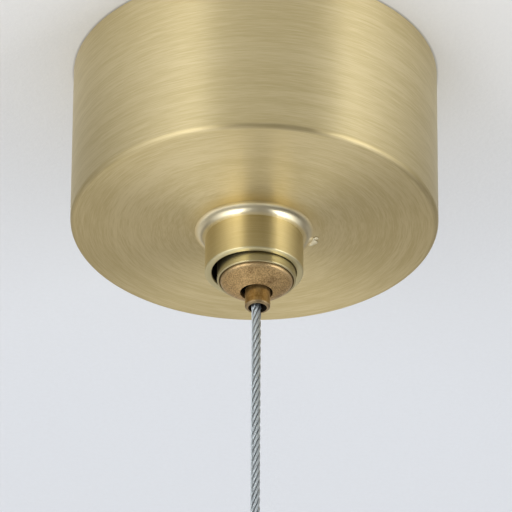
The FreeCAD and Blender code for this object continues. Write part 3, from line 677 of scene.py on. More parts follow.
def threaded_brass(nodes):
    """Turned brass, with painted shade in the thread's roots and a painted highlight on its crests.
    """
    place = nodes.place()
    stem = Turned(nodes)
    grain = nodes.noise(place, 1800, 3.0, 0.6)
    # Painted light: dark brass off the crests and light brass on them.
    crest = nodes.between(stem.radius, STEM_HIGH.x - 0.4 * MM, STEM_HIGH.x - 0.05 * MM)
    return {
        "Base Color": nodes.mix(crest * (0.6 + grain * 0.4), THREAD_ROOT_SHADE, THREAD_CREST_HIGHLIGHT),
        "Metallic": 1.0,
        "Roughness": 0.34 + grain * 0.12,
        "Normal": nodes.bump(grain, 0.008 * MM),
    }


def natural_nylon(nodes, fittings):
    """Pale nylon, clouded by its moulding."""
    flow = nodes.noise(nodes.place(), 600, 3.0)
    cloudy = tuple(0.88 * part for part in fittings.nylon)
    return {
        "Base Color": nodes.mix(flow, fittings.nylon, cloudy),
        "Roughness": 0.42 + flow * 0.1,
        "Subsurface Weight": 0.2,
        "Subsurface Radius": (0.002, 0.0018, 0.0014),
        "Normal": nodes.bump(flow, 0.01 * MM),
    }


def crimped_copper(nodes, fittings):
    """Copper with patches of tarnish."""
    place = nodes.place()
    grain = nodes.noise(place, 1500, 3.0, 0.6)
    tarnish = nodes.between(nodes.noise(place, 420, 3.0), 0.45, 0.7)
    return {
        "Base Color": nodes.mix(tarnish * 0.7, fittings.copper, TARNISHED_COPPER),
        "Metallic": 1.0,
        "Roughness": 0.3 + grain * 0.2,
        "Normal": nodes.bump(grain, 0.01 * MM),
    }


def plain_steel(nodes, tone, roughness):
    """Ground or turned steel with a fine grain and faint marks."""
    place = nodes.place()
    grain = nodes.noise(place, 2400, 3.0, 0.6)
    marks = nodes.between(nodes.noise(place, 500, 2.0), 0.4, 0.7)
    dull = tuple(0.7 * part for part in tone)
    return {
        "Base Color": nodes.mix(marks, tone, dull),
        "Metallic": 1.0,
        "Roughness": roughness + grain * 0.12,
        "Normal": nodes.bump(grain, 0.004 * MM),
    }


# ---------------------------------------------------------------- shapes

def spin(shape, geometry, turn, steps, rise=0.0, closed=False):
    """Spin the geometry about Z. rise is what it climbs at each step."""
    bmesh.ops.spin(shape, geom=geometry, cent=(0, 0, 0), axis=(0, 0, 1), dvec=(0, 0, rise),
                   angle=turn, steps=steps, use_merge=closed)


def face_outwards(shape):
    bmesh.ops.recalc_face_normals(shape, faces=shape.faces)


def move(shape, offset):
    bmesh.ops.translate(shape, verts=shape.verts, vec=offset)


def only(kind, items):
    """Return the items of one kind of geometry."""
    return [item for item in items if isinstance(item, kind)]


def cut_away(shape, place, normal):
    """Cut off what lies beyond a plane, and return the edges of the cut."""
    everything = shape.verts[:] + shape.edges[:] + shape.faces[:]
    cut = bmesh.ops.bisect_plane(shape, geom=everything, dist=1e-8, plane_co=place,
                                 plane_no=normal, clear_outer=True)
    return only(bmesh.types.BMEdge, cut["geom_cut"])


def turned(corners, steps=192):
    """Spin a closed outline about Z. A corner is radius, height and, where rounded, a size."""
    shape = bmesh.new()
    outline = [shape.verts.new((corner[0], 0, corner[1])) for corner in corners]
    edges = [shape.edges.new(pair) for pair in zip(outline, outline[1:] + outline[:1])]
    spin(shape, outline + edges, TURN, steps, closed=True)
    bmesh.ops.remove_doubles(shape, verts=shape.verts, dist=NEAR / 10)
    face_outwards(shape)
    for corner in corners:
        if len(corner) == 3:
            round_ring(shape, *corner)
    return shape


def round_ring(shape, radius, height, size):
    """Bevel the ring of edges at a radius and a height."""
    def on_ring(vert):
        return (abs(math.hypot(vert.co.x, vert.co.y) - radius) < NEAR
                and abs(vert.co.z - height) < NEAR)

    ring = [edge for edge in shape.edges if all(on_ring(vert) for vert in edge.verts)]
    bmesh.ops.bevel(shape, geom=ring, offset=size, offset_type="OFFSET", segments=6,
                    profile=0.5, affect="EDGES", material=-1)


def arc(centre, radius, start, end, steps):
    """Return points of an outline along an arc, from one angle to another in degrees."""
    points = []
    for index in range(steps + 1):
        turn = math.radians(start + (end - start) * index / steps)
        points.append((centre[0] + radius * math.cos(turn), centre[1] + radius * math.sin(turn)))
    return points


def add_thread(carrier, root, crest, foot, head, pitch):
    """Join a V thread, wound round Z between two heights, to the shape that carries it."""
    shape = bmesh.new()
    corners = [(root, foot - pitch), (crest, foot - pitch / 2), (root, foot)]
    outline = [shape.verts.new((radius, 0, height)) for radius, height in corners]
    edges = [shape.edges.new(pair) for pair in zip(outline, outline[1:])]
    turns = math.ceil((head - foot) / pitch) + 1
    steps = 48 * turns
    spin(shape, outline + edges, turns * TURN, steps, turns * pitch / steps)
    bmesh.ops.remove_doubles(shape, verts=shape.verts, dist=NEAR)
    for height, side in ((foot, -1), (head, 1)):
        cut_away(shape, (0, 0, height), (0, 0, side))
    face_outwards(shape)
    mesh = bpy.data.meshes.new("thread")
    shape.to_mesh(mesh)
    shape.free()
    carrier.from_mesh(mesh)
    bpy.data.meshes.remove(mesh)


def new_object(name, data):
    """Put a new object in the scene."""
    made = bpy.data.objects.new(name, data)
    bpy.context.scene.collection.objects.link(made)
    return made


def add_piece(name, shape, material, body, replaced, sharp=35.0):
    """Make an object of the shape, shade it, and put it on its body."""
    for face in shape.faces:
        face.smooth = True
    for edge in shape.edges:
        edge.smooth = edge.calc_face_angle(0) < math.radians(sharp)
    mesh = bpy.data.meshes.new(name)
    shape.to_mesh(mesh)
    shape.free()
    return add_mesh(name, mesh, material, body, replaced)


def add_mesh(name, mesh, material, body, replaced):
    """Make an object of the mesh. Without a body, it is left unattached."""
    piece = new_object(name, mesh)
    mesh.materials.clear()
    mesh.materials.append(material)
    if body:
        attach(piece, body)
    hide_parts(*replaced)
    return piece


def even_normals(piece):
    """Keep large flat faces flat beside their small roundings."""
    modifier = piece.modifiers.new("Even normals", "WEIGHTED_NORMAL")
    modifier.keep_sharp = True
    modifier.weight = 100


def dress(node, material):
    """Give a CAD node a finish."""
    for slot in frame["nodes"][node].material_slots:
        slot.material = material


# ---------------------------------------------------------------- wire rope

ROPE_HEAD = -38.14
GUIDE_TOP = -16.0
ROPE_FOOT = NIPPLE_HIGH.z / MM

DROP_ROUTE = [(0, 0, height) for height in (ROPE_HEAD, -44.9, -54, -68, -82, ROPE_FOOT)]
GRIPPED_ROUTE = [(0, 0, height) for height in (ROPE_HEAD, -27, GUIDE_TOP)]
TAIL_ROUTE = [
    (0.0, 0.0, -12.6),
    (0.0, 1.3, -9.5),
    (0.0, 3.7, -7.0),
    (0.0, 6.9, -5.8),
    (0.0, 11.1, -5.8),
    (-1.1, 16.1, -7.6),
    (-3.3, 20.8, -11.7),
    (-6.5, 24.9, -16.9),
    (-11.8, 23.1, -22.4),
    (-17.2, 19.8, -26.4),
]
TAIL_LAST_RUN = 4.5

COIL_TURNS = 5.75
COIL_START_ANGLE = 154.0
COIL_CLIMB_TURNS = 0.5
COIL_RISE_TURNS = 0.25
COIL_RADIUS = 25.5
COIL_FLOOR = -27.5
COIL_PITCH = 2.0
COIL_LAYER_RISE = 1.95
COIL_END_RISE = 2.5
COIL_POINTS_PER_TURN = 24


def smooth(share_done):
    """Return a share from 0 to 1 that starts and ends gently."""
    share_done = max(0.0, min(1.0, share_done))
    return share_done * share_done * (3 - 2 * share_done)


def coil_place(turn):
    """Spiral in on the floor, climb a layer where the spiral reverses, and spiral out."""
    radius = COIL_RADIUS - COIL_PITCH * min(turn, COIL_TURNS - turn)
    climb = smooth((turn - COIL_TURNS / 2) / COIL_CLIMB_TURNS + 0.5) * COIL_LAYER_RISE
    lift = smooth((turn - COIL_TURNS) / COIL_RISE_TURNS + 1) * COIL_END_RISE
    around = math.radians(COIL_START_ANGLE) + TURN * turn
    return Vector((radius * math.cos(around), radius * math.sin(around), COIL_FLOOR + climb + lift))


def coil_heading(turn):
    """Return the coil's unit direction."""
    small = 1e-4
    return (coil_place(turn + small) - coil_place(turn - small)).normalized()


def spare_route():
    """Return the route of the rope above the clamp balls, in millimetres."""
    start = coil_place(0) - coil_heading(0) * ROPE_DIAMETER
    end = coil_place(COIL_TURNS) + coil_heading(COIL_TURNS) * ROPE_DIAMETER
    count = round(COIL_TURNS * COIL_POINTS_PER_TURN)
    turns = [coil_place(COIL_TURNS * index / count) for index in range(count + 1)]
    return (GRIPPED_ROUTE + TAIL_ROUTE + [start - coil_heading(0) * TAIL_LAST_RUN, start]
            + turns + [end])


def mesh_of(curve):
    """Return the mesh that a curve gives, and remove the curve."""
    carrier = bpy.data.objects.new(curve.name, curve)
    mesh = bpy.data.meshes.new_from_object(carrier)
    bpy.data.objects.remove(carrier)
    bpy.data.curves.remove(curve)
    return mesh


def centre_line(route, resolution):
    """Return points of the smooth line that a route in millimetres gives."""
    curve = bpy.data.curves.new("Rope route", "CURVE")
    curve.dimensions = "3D"
    curve.resolution_u = resolution
    spline = curve.splines.new("NURBS")
    spline.points.add(len(route) - 1)
    for point, place in zip(spline.points, route):
        point.co = (*(Vector(place) * MM), 1)
    spline.order_u = 3
    spline.use_endpoint_u = True
    mesh = mesh_of(curve)
    line = [vert.co.copy() for vert in mesh.vertices]
    bpy.data.meshes.remove(mesh)
    return line


def even_steps(line, step):
    """Return points at even steps along a line, each with its run, heading and side."""
    count = max(2, round(sum((b - a).length for a, b in zip(line, line[1:])) / step))
    runs = [0.0]
    for a, b in zip(line, line[1:]):
        runs.append(runs[-1] + (b - a).length)
    places = []
    index = 0
    for number in range(count + 1):
        run = runs[-1] * number / count
        while index < len(line) - 2 and runs[index + 1] < run:
            index += 1
        part = (run - runs[index]) / (runs[index + 1] - runs[index])
        places.append((line[index].lerp(line[index + 1], part), run))
    stations = []
    side = Vector((1, 0, 0))
    for number, (place, run) in enumerate(places):
        before = places[max(0, number - 1)][0]
        after = places[min(count, number + 1)][0]
        heading = (after - before).normalized()
        side = (side - heading * side.dot(heading)).normalized()
        stations.append((place, run, heading, side))
    return stations


def wound(stations, radius, lay, phase):
    """Return points wound right-handed round the stations, each with two directions across."""
    points = []
    for place, run, heading, side in stations:
        around = TURN * (run / lay + phase)
        out = side * math.cos(around) + heading.cross(side) * math.sin(around)
        points.append((place + out * radius, out, heading.cross(out)))
    return points


def tubes(name, lines, radius, bevel_resolution):
    """Return one mesh of round tubes along the lines."""
    curve = bpy.data.curves.new(name, "CURVE")
    curve.dimensions = "3D"
    curve.bevel_depth = radius
    curve.bevel_resolution = bevel_resolution
    curve.use_fill_caps = True
    for line in lines:
        spline = curve.splines.new("POLY")
        spline.points.add(len(line) - 1)
        for point, place in zip(spline.points, line):
            point.co = (*place, 1)
    mesh = mesh_of(curve)
    for polygon in mesh.polygons:
        polygon.use_smooth = True
    return mesh


# ---------------------------------------------------------------- operators

class PENDANT_OT_stage(bpy.types.Operator):
    """Set the camera, the soft lamps, the pale room and the plastered ceiling"""
    bl_idname = "pendant.stage"
    bl_label = "Stage"

    def execute(self, context):
        stage = context.scene.pendant.stage
        self.make_camera(context, stage)
        self.make_lamps(stage)
        self.make_room(context, stage)
        self.make_ceiling(stage)
        context.scene.view_settings.view_transform = "Standard"
        return {"FINISHED"}

    def make_camera(self, context, stage):
        lens = bpy.data.cameras.new("Camera")
        lens.lens = stage.camera_lens
        lens.sensor_width = SENSOR_WIDTH
        camera = new_object("Camera", lens)
        up = stage.camera_elevation
        back = Vector((0, -math.cos(up), -math.sin(up)))
        camera.location = Vector(stage.camera_aim) + back * stage.camera_distance
        level = (-back).to_track_quat("-Z", "Y").to_matrix().to_4x4()
        camera.rotation_euler = (Matrix.Rotation(stage.camera_roll, 4, back) @ level).to_euler()
        context.scene.camera = camera

    def make_lamps(self, stage):
        for name, setting, azimuth, elevation, distance, size, end in SOFT_LAMPS:
            light = bpy.data.lights.new(name, "AREA")
            light.shape = "RECTANGLE"
            light.size, light.size_y = size
            light.energy = getattr(stage, setting)
            self.fade_panel(light, stage.fade * end)
            lamp = new_object(name, light)
            lamp.visible_camera = False
            around, up = math.radians(azimuth), math.radians(elevation)
            away = Vector((math.sin(around) * math.cos(up), -math.cos(around) * math.cos(up),
                           math.sin(up)))
            lamp.location = away * distance
            lamp.rotation_euler = away.to_track_quat("Z", "Y").to_euler()

    def fade_panel(self, light, fade):
        """Make the panel brighter towards one end, or towards the other if fade is negative."""
        light.use_nodes = True
        nodes = Nodes(light.node_tree)
        across = nodes.parts(nodes.add("NewGeometry").outputs["Parametric"])[0]
        if fade < 0:
            across = 1 - across
        level = (1 - abs(fade)) + abs(fade) * FADE_PEAK * across ** FADE_POWER
        glow = nodes.add("Emission", None, {"Color": (1, 1, 1), "Strength": level})
        nodes.add("OutputLight", None, {"Surface": glow.outputs[0]})

    def make_room(self, context, stage):
        """Make a room whose tones only mirrored and bent rays see. The others see plain grey."""
        world = bpy.data.worlds.new("Room")
        world.use_nodes = True
        context.scene.world = world
        nodes = Nodes(world.node_tree)
        mirrored = nodes.rays("Glossy", "Transmission")
        across, depth, height = nodes.parts(nodes.add("TexCoord").outputs["Generated"])
        near = nodes.mix(nodes.between(across, -0.3, 0.7), stage.room_near, stage.room_right)
        far = nodes.mix(nodes.between(across, -0.12, 0.14), stage.room_far, stage.room_far_right)
        far = nodes.mix(nodes.between(height, -0.36, -0.58) * 0.5, far, LOW_WALL)
        tone = nodes.mix(nodes.between(depth, 0.35, 0.9), near, far)
        tone = nodes.mix(nodes.between(height, -0.05, -0.30), stage.room_horizon, tone)
        tone = nodes.mix(mirrored, PLAIN_GREY, tone)
        room = nodes.add("Background", None, {"Color": tone, "Strength": 1.0})
        nodes.add("OutputWorld", None, {"Surface": room.outputs[0]})

    def make_ceiling(self, stage):
        """Make a ceiling that shows from below, outside the cup, and lets the room's light by."""
        shape = bmesh.new()
        bmesh.ops.create_grid(shape, x_segments=1, y_segments=1, size=CEILING_REACH)
        move(shape, (0, 0, CEILING_GAP))
        mesh = bpy.data.meshes.new("Ceiling")
        shape.to_mesh(mesh)
        shape.free()
        ceiling = new_object("Ceiling", mesh)
        plaster = bpy.data.materials.new("Plaster")
        plaster.use_nodes = True
        nodes = Nodes(plaster.node_tree)
        place = nodes.place()
        across, depth, _ = nodes.parts(place)
        aside = (nodes.between(nodes.math("ABSOLUTE", across), 0.043, 0.07)
                 * (1 - nodes.rays("Camera")))
        far = nodes.between(depth, -0.06, 0.12)
        shade = nodes.between(depth, -0.03, -0.13)
        grain = nodes.noise(place, 1300, 4.0, 0.6)
        around = Turned(nodes, CUP_CENTRE).radius
        # A painted shadow: a thin dark ring on the plaster round the cup's rim, where the cup meets
        # the ceiling.
        joint = nodes.between(around, CUP_RADIUS + 0.35 * MM, CUP_RADIUS + 0.05 * MM)
        paint = nodes.mix(far, stage.ceiling_near, stage.ceiling_far)
        paint = nodes.mix(shade, paint, stage.ceiling_shade)
        paint = nodes.mix(aside, paint, stage.ceiling_side)
        paint = nodes.mix(joint * 0.4, paint, CEILING_CONTACT_SHADOW)
        paint = nodes.mix((grain - 0.35) * 0.25, paint, PLAIN_GREY)
        below = nodes.add("BsdfPrincipled", None, {
            "Base Color": paint, "Roughness": 0.9, "Normal": nodes.bump(grain, 0.05 * MM)})
        clear = nodes.add("BsdfTransparent")
        outside = nodes.between(around, CUP_RADIUS - 1.2 * MM, CUP_RADIUS - 1.0 * MM)
        from_below = Number(nodes, nodes.add("NewGeometry").outputs["Backfacing"])
        shown = from_below * nodes.rays("Camera", "Glossy", "Transmission") * outside
        surface = nodes.add("MixShader", None, {0: shown, 1: clear.outputs[0],
                                                2: below.outputs[0]})
        nodes.add("OutputMaterial", None, {"Surface": surface.outputs[0]})
        mesh.materials.append(plaster)


class PENDANT_OT_rope_drop(bpy.types.Operator):
    """Lay six strands of wires round a core, from the clamp balls down to the lamp's end"""
    bl_idname = "pendant.rope_drop"
    bl_label = "Hanging rope"

    def execute(self, context):
        rope = context.scene.pendant.rope
        line = centre_line(DROP_ROUTE, 12)
        strand = rope.diameter / 6 * rope.fullness
        wire = strand / 3
        stations = even_steps(line, DROP_STEP * MM)
        wires = []
        for index in range(rope.strands):
            course = wound(stations, 2 * strand, rope.strand_lay, index / rope.strands)
            for number in range(WIRES_PER_STRAND):
                points = []
                for (place, out, aside), (_, run, _, _) in zip(course, stations):
                    around = TURN * (number / WIRES_PER_STRAND + run / rope.wire_lay)
                    offset = out * math.cos(around) + aside * math.sin(around)
                    points.append(place + offset * 2 * wire)
                wires.append(points)
        mesh = tubes("rope_drop_strands", wires, wire, 1)
        self.add_core(mesh, tubes("rope_drop_core", [line], CORE_FULLNESS * strand, 2))
        zinc = finish("Galvanised wire", galvanised_wire, rope)
        piece = add_mesh("rope_drop_strands", mesh, zinc, None, ["rope_drop"])
        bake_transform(piece)
        return {"FINISHED"}

    def add_core(self, mesh, core):
        both = bmesh.new()
        both.from_mesh(mesh)
        both.from_mesh(core)
        both.to_mesh(mesh)
        both.free()
        bpy.data.meshes.remove(core)


class PENDANT_OT_rope_spare(bpy.types.Operator):
    """Lay the spare rope: through the stem, over to the cup's floor, round its coil to the stop"""
    bl_idname = "pendant.rope_spare"
    bl_label = "Spare rope"

    def execute(self, context):
        rope = context.scene.pendant.rope
        line = centre_line(spare_route(), 8)
        strand = rope.diameter / 6
        stations = even_steps(line, rope.strand_lay / 10)
        courses = []
        for index in range(rope.strands):
            course = wound(stations, 2 * strand, rope.strand_lay, index / rope.strands)
            courses.append([place for place, _, _ in course])
        mesh = tubes("rope_spare", courses, strand, 1)
        stop = self.make_stop(context)
        run = sum((b - a).length for a, b in zip(line, line[1:]))
        wire = finish("Stranded wire", stranded_wire, rope, run)
        piece = add_mesh("rope_spare", mesh, wire, "ceiling_mount",
                         ["rope_gripped", "rope_tail", "rope_coil"])
        return {"FINISHED"}

    def make_stop(self, context):
        """A copper stop with three crimps pressed into it."""
        full = (STOP_RADIUS, STOP_RADIUS)
        pressed = (STOP_RADIUS, STOP_PRESSED)
        end = (STOP_END_RADIUS, STOP_END_RADIUS)
        bands = [(0.0, *end), (0.3, *full)]
        for crimp in STOP_CRIMPS:
            bands += [(crimp, *full), (crimp + 0.2, *pressed), (crimp + 1.0, *pressed),
                      (crimp + 1.2, *full)]
        bands += [(5.7, *full), (6.0, *end)]
        shape = bmesh.new()
        rings = []
        for height, wide, thick in bands:
            ring = bmesh.ops.create_circle(shape, cap_ends=False, radius=MM, segments=32)["verts"]
            bmesh.ops.scale(shape, vec=(wide, thick, 1), verts=ring)
            bmesh.ops.translate(shape, vec=(0, 0, height * MM), verts=ring)
            rings.append(ring)
        bmesh.ops.bridge_loops(shape, edges=shape.edges)
        for ring in (rings[0], rings[-1]):
            bmesh.ops.contextual_create(shape, geom=ring)
        face_outwards(shape)
        heading = coil_heading(COIL_TURNS)
        place = (coil_place(COIL_TURNS) + heading * ROPE_DIAMETER) * MM
        turn = Matrix.Translation(place) @ heading.to_track_quat("Z", "Y").to_matrix().to_4x4()
        bmesh.ops.transform(shape, matrix=turn, verts=shape.verts)
        copper = finish("Crimped copper", crimped_copper, context.scene.pendant.fittings)
        return add_piece("rope_stop_crimp", shape, copper, "ceiling_mount",
                         ["rope_stop"])


class PENDANT_OT_canopy(bpy.types.Operator):
    """Spin the brushed brass cup"""
    bl_idname = "pendant.canopy"
    bl_label = "Cup"

    def execute(self, context):
        canopy = context.scene.pendant.canopy
        radius, floor = CUP_RADIUS, CUP_LOW.z
        edge = floor + canopy.floor_sag
        hole = NECK_RADIUS - canopy.spigot_step
        shape = turned([
            (hole, floor - canopy.floor_pull),
            (canopy.floor_flat, floor - canopy.floor_pull * 0.95),
            (radius, edge, canopy.edge_rounding),
            (radius, CUP_HIGH.z, canopy.rim_rounding),
            (radius - canopy.wall, CUP_HIGH.z),
            (radius - canopy.wall, edge + canopy.wall, canopy.edge_rounding),
            (canopy.floor_flat, floor + canopy.wall),
            (hole, floor + canopy.wall),
        ], 256)
        move(shape, (CUP_CENTRE, 0, 0))
        brass = finish("Brushed cup brass", brushed_cup, canopy)
        even_normals(add_piece("cup_shell", shape, brass, "ceiling_mount",
                               ["canopy_cup"]))
        return {"FINISHED"}


class PENDANT_OT_neck(bpy.types.Operator):
    """Turn the neck, and run the solder round its root"""
    bl_idname = "pendant.neck"
    bl_label = "Neck"

    def execute(self, context):
        canopy = context.scene.pendant.canopy
        radius = NECK_RADIUS
        rim, top, floor = NECK_LOW.z, NECK_HIGH.z, CUP_LOW.z
        ledge = top - canopy.ledge_thickness
        shape = turned([
            (canopy.neck_bore, rim, 0.12 * MM),
            (radius, rim, canopy.neck_rim_rounding),
            (radius, floor),
            (radius - canopy.spigot_step, floor),
            (radius - canopy.spigot_step, top, 0.1 * MM),
            (canopy.ledge_bore, top, 0.1 * MM),
            (canopy.ledge_bore, ledge),
            (canopy.neck_bore, ledge),
        ])
        move(shape, (CUP_CENTRE, 0, 0))
        brass = finish("Turned neck brass", brushed_neck, canopy)
        even_normals(add_piece("neck_turned", shape, brass, "ceiling_mount",
                               ["canopy_neck"]))
        self.make_solder(canopy, radius, floor)
        return {"FINISHED"}

    def make_solder(self, canopy, radius, floor):
        floor = floor - canopy.floor_pull
        foot = floor - canopy.solder_leg
        land = canopy.solder_land
        reach = radius + canopy.solder_leg
        shape = turned([
            (radius, floor),
            (radius, foot),
            (radius + land, foot),
            (radius + land, floor - land, reach - radius - land),
            (reach, floor - land),
            (reach, floor),
        ])
        for across, along, size in SOLDER_DROPS:
            drop = bmesh.ops.create_icosphere(shape, subdivisions=3, radius=size * MM)["verts"]
            bmesh.ops.scale(shape, vec=(1, 1, DROP_FLATNESS), verts=drop)
            bmesh.ops.translate(shape, vec=(across * MM, along * MM, floor - land), verts=drop)
        move(shape, (CUP_CENTRE, 0, 0))
        solder = finish("Polished solder", polished_solder, canopy)
        add_piece("neck_solder_fillet", shape, solder, "ceiling_mount",
                  ["neck_solder"])


class PENDANT_OT_gripper(bpy.types.Operator):
    """Turn the gripper: brass sleeve, domed bronze body and release plunger"""
    bl_idname = "pendant.gripper"
    bl_label = "Gripper"

    def execute(self, context):
        gripper = context.scene.pendant.gripper
        self.make_sleeve(gripper)
        self.make_body(gripper)
        self.make_plunger(gripper)
        dress("clamp_balls", finish("Ball steel", plain_steel, BALL_STEEL, 0.12))
        return {"FINISHED"}

    def make_sleeve(self, gripper):
        radius, edge, top = SLEEVE_HIGH.x, SLEEVE_LOW.z, SLEEVE_HIGH.z
        inside = radius - gripper.sleeve_wall
        shape = turned([
            (gripper.sleeve_bore, top - gripper.sleeve_top),
            (inside, top - gripper.sleeve_top),
            (inside, edge + SLEEVE_CHAMFER),
            (inside + SLEEVE_CHAMFER, edge),
            (radius, edge, SLEEVE_CHAMFER),
            (radius, top),
            (gripper.sleeve_bore, top),
        ])
        brass = finish("Satin sleeve brass", satin_sleeve)
        even_normals(add_piece("sleeve_turned", shape, brass, "ceiling_mount",
                               ["gripper_sleeve"]))

    def make_body(self, gripper):
        radius, end, top = BODY_HIGH.x, BODY_LOW.z, BODY_HIGH.z
        edge = SLEEVE_LOW.z - gripper.dome_land
        hole = gripper.dome_mouth - gripper.recess_step
        reach = gripper.dome_mouth ** 2 - radius ** 2
        centre = ((end ** 2 - edge ** 2) + reach) / (2 * (end - edge))
        sphere = math.hypot(gripper.dome_mouth, end - centre)
        start = math.degrees(math.atan2(end - centre, gripper.dome_mouth))
        stop = math.degrees(math.atan2(edge - centre, radius))
        dome = arc((0, centre), sphere, start, stop, 10)
        shape = turned([
            (hole, end + gripper.recess_depth),
            (gripper.dome_mouth, end + gripper.recess_depth),
            *dome[:-1],
            (radius, edge, gripper.dome_rounding),
            (radius, top),
            (BODY_BORE, top),
            (BODY_BORE, TAPER_TOP),
            (TAPER_END_RADIUS, TAPER_END),
            (hole, TAPER_END),
        ])
        bronze = finish("Cast bronze", cast_bronze, gripper)
        add_piece("clamp_body_cast", shape, bronze, "ceiling_mount", ["clamp_body"])

    def make_plunger(self, gripper):
        tip, top = PLUNGER_LOW.z, PLUNGER_HIGH.z
        shape = turned([
            (PLUNGER_BORE, tip + 0.5 * MM),
            (PLUNGER_MOUTH, tip, 0.05 * MM),
            (PLUNGER_LIP, tip, 0.05 * MM),
            (PLUNGER_RADIUS, tip + 0.25 * MM, 0.05 * MM),
            (PLUNGER_RADIUS, CAGE_FOOT),
            (CAGE_RADIUS, CAGE_FOOT),
            (CAGE_RADIUS, top),
            (PLUNGER_BORE, top),
        ], 96)
        move(shape, (PLUNGER_CENTRE, 0, 0))
        bronze = finish("Rubbed bronze", rubbed_bronze, gripper)
        even_normals(add_piece("plunger_turned", shape, bronze, "release_plunger",
                               ["plunger"]))


class PENDANT_OT_spring(bpy.types.Operator):
    """Wind the spring that pushes the plunger back out"""
    bl_idname = "pendant.spring"
    bl_label = "Spring"

    def execute(self, context):
        low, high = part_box("release_spring")
        wire = SPRING_WIRE
        shape = bmesh.new()
        section = bmesh.ops.create_circle(shape, cap_ends=True, radius=wire / 2,
                                          segments=10)["verts"]
        middle = Matrix.Translation((high.x - wire / 2, 0, low.z + wire / 2))
        bmesh.ops.transform(shape, matrix=middle @ Matrix.Rotation(TURN / 4, 4, "X"), verts=section)
        steps = SPRING_TURNS * SPRING_STEPS_PER_TURN
        spin(shape, shape.verts[:] + shape.edges[:] + shape.faces[:], TURN * SPRING_TURNS, steps,
             (high.z - low.z - wire) / steps)
        face_outwards(shape)
        steel = finish("Spring steel", plain_steel, SPRING_STEEL, 0.25)
        spring = add_piece("release_spring_wound", shape, steel, "ceiling_mount",
                           ["release_spring"])
        press = next(joint for joint in frame["joints"] if joint["name"] == "plunger_press")
        travel = press["range_m"][1]
        1 - travel / (high.z - low.z)
        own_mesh(spring)
        return {"FINISHED"}


class PENDANT_OT_fittings(bpy.types.Operator):
    """Make the bracket's nuts and washer and the threaded stem, and finish the bracket"""
    bl_idname = "pendant.fittings"
    bl_label = "Ceiling fittings"

    def execute(self, context):
        fittings = context.scene.pendant.fittings
        dress("ceiling_bracket", finish("Bracket zinc", bright_zinc, tuple(fittings.zinc), 900))
        dress("rope_guide", finish("Natural nylon", natural_nylon, fittings))
        nut_zinc = finish("Nut zinc", bright_zinc, NUT_ZINC, 300)
        for node in ("bracket_nut_lower", "bracket_nut_upper"):
            self.make_nut(node, nut_zinc, fittings)
        self.make_washer(nut_zinc)
        self.make_stem(fittings)
        return {"FINISHED"}

    def make_nut(self, node, material, fittings):
        low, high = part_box(node)
        wide, deep, thick = (high[axis] - low[axis] for axis in range(3))
        corner = min(wide, deep) / math.sqrt(3)
        turn = TURN / 4 if wide > deep else 0
        shape = bmesh.new()
        hexagon = bmesh.ops.create_circle(shape, cap_ends=False, radius=corner,
                                          segments=6)["verts"]
        bmesh.ops.rotate(shape, cent=(0, 0, 0), matrix=Matrix.Rotation(turn, 3, "Z"), verts=hexagon)
        bmesh.ops.create_circle(shape, cap_ends=False, radius=STEM_HIGH.x + NUT_BORE_PLAY,
                                segments=96)
        bmesh.ops.bridge_loops(shape, edges=shape.edges)
        move(shape, (0, 0, low.z))
        grown = bmesh.ops.extrude_face_region(shape, geom=shape.faces[:])["geom"]
        bmesh.ops.translate(shape, vec=(0, 0, thick), verts=only(bmesh.types.BMVert, grown))
        for index in range(6):
            around = TURN * index / 6 + turn
            out = Vector((math.cos(around), math.sin(around), 0))
            for height, side in ((low.z, -1), (high.z, 1)):
                place = out * corner + Vector((0, 0, height - side * fittings.nut_chamfer))
                normal = (out * math.sin(NUT_CHAMFER_TILT)
                          + Vector((0, 0, side * math.cos(NUT_CHAMFER_TILT))))
                bmesh.ops.contextual_create(shape, geom=cut_away(shape, place, normal))
        face_outwards(shape)
        add_piece(node + "_hex", shape, material, "ceiling_mount", [node], 20)

    def make_washer(self, material):
        low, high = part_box("bracket_lock_washer")
        shape = bmesh.new()
        corners = [(WASHER_BORE, low.z), (high.x, low.z), (high.x, high.z), (WASHER_BORE, high.z)]
        section = [shape.verts.new((radius, 0, height)) for radius, height in corners]
        face = shape.faces.new(section)
        spin(shape, section + list(face.edges) + [face], TURN * WASHER_CLOSED, 120)
        face_outwards(shape)
        add_piece("bracket_lock_washer_split", shape, material, "ceiling_mount",
                  ["bracket_lock_washer"])

    def make_stem(self, fittings):
        foot, top, crest = STEM_LOW.z, STEM_HIGH.z, STEM_HIGH.x
        root = crest - fittings.thread_depth
        shoulder = BODY_HIGH.z
        shape = turned([
            (STEM_FOOT_BORE, foot),
            (STEM_FOOT_RADIUS, foot),
            (STEM_FOOT_RADIUS, shoulder),
            (root, shoulder),
            (root, top, 0.3 * MM),
            (STEM_GUIDE_BORE, top),
            (STEM_GUIDE_BORE, top - STEM_GUIDE_DEPTH),
            (STEM_ROPE_BORE, top - STEM_GUIDE_DEPTH),
            (STEM_ROPE_BORE, STEM_FOOT_BORE_TOP),
            (STEM_FOOT_BORE, STEM_FOOT_BORE_TOP),
        ], 96)
        add_thread(shape, root - 0.02 * MM, crest, shoulder, top - 0.4 * MM, fittings.thread_pitch)
        brass = finish("Threaded brass", threaded_brass)
        add_piece("stem_threaded", shape, brass, "ceiling_mount",
                  ["threaded_stem"], 25)


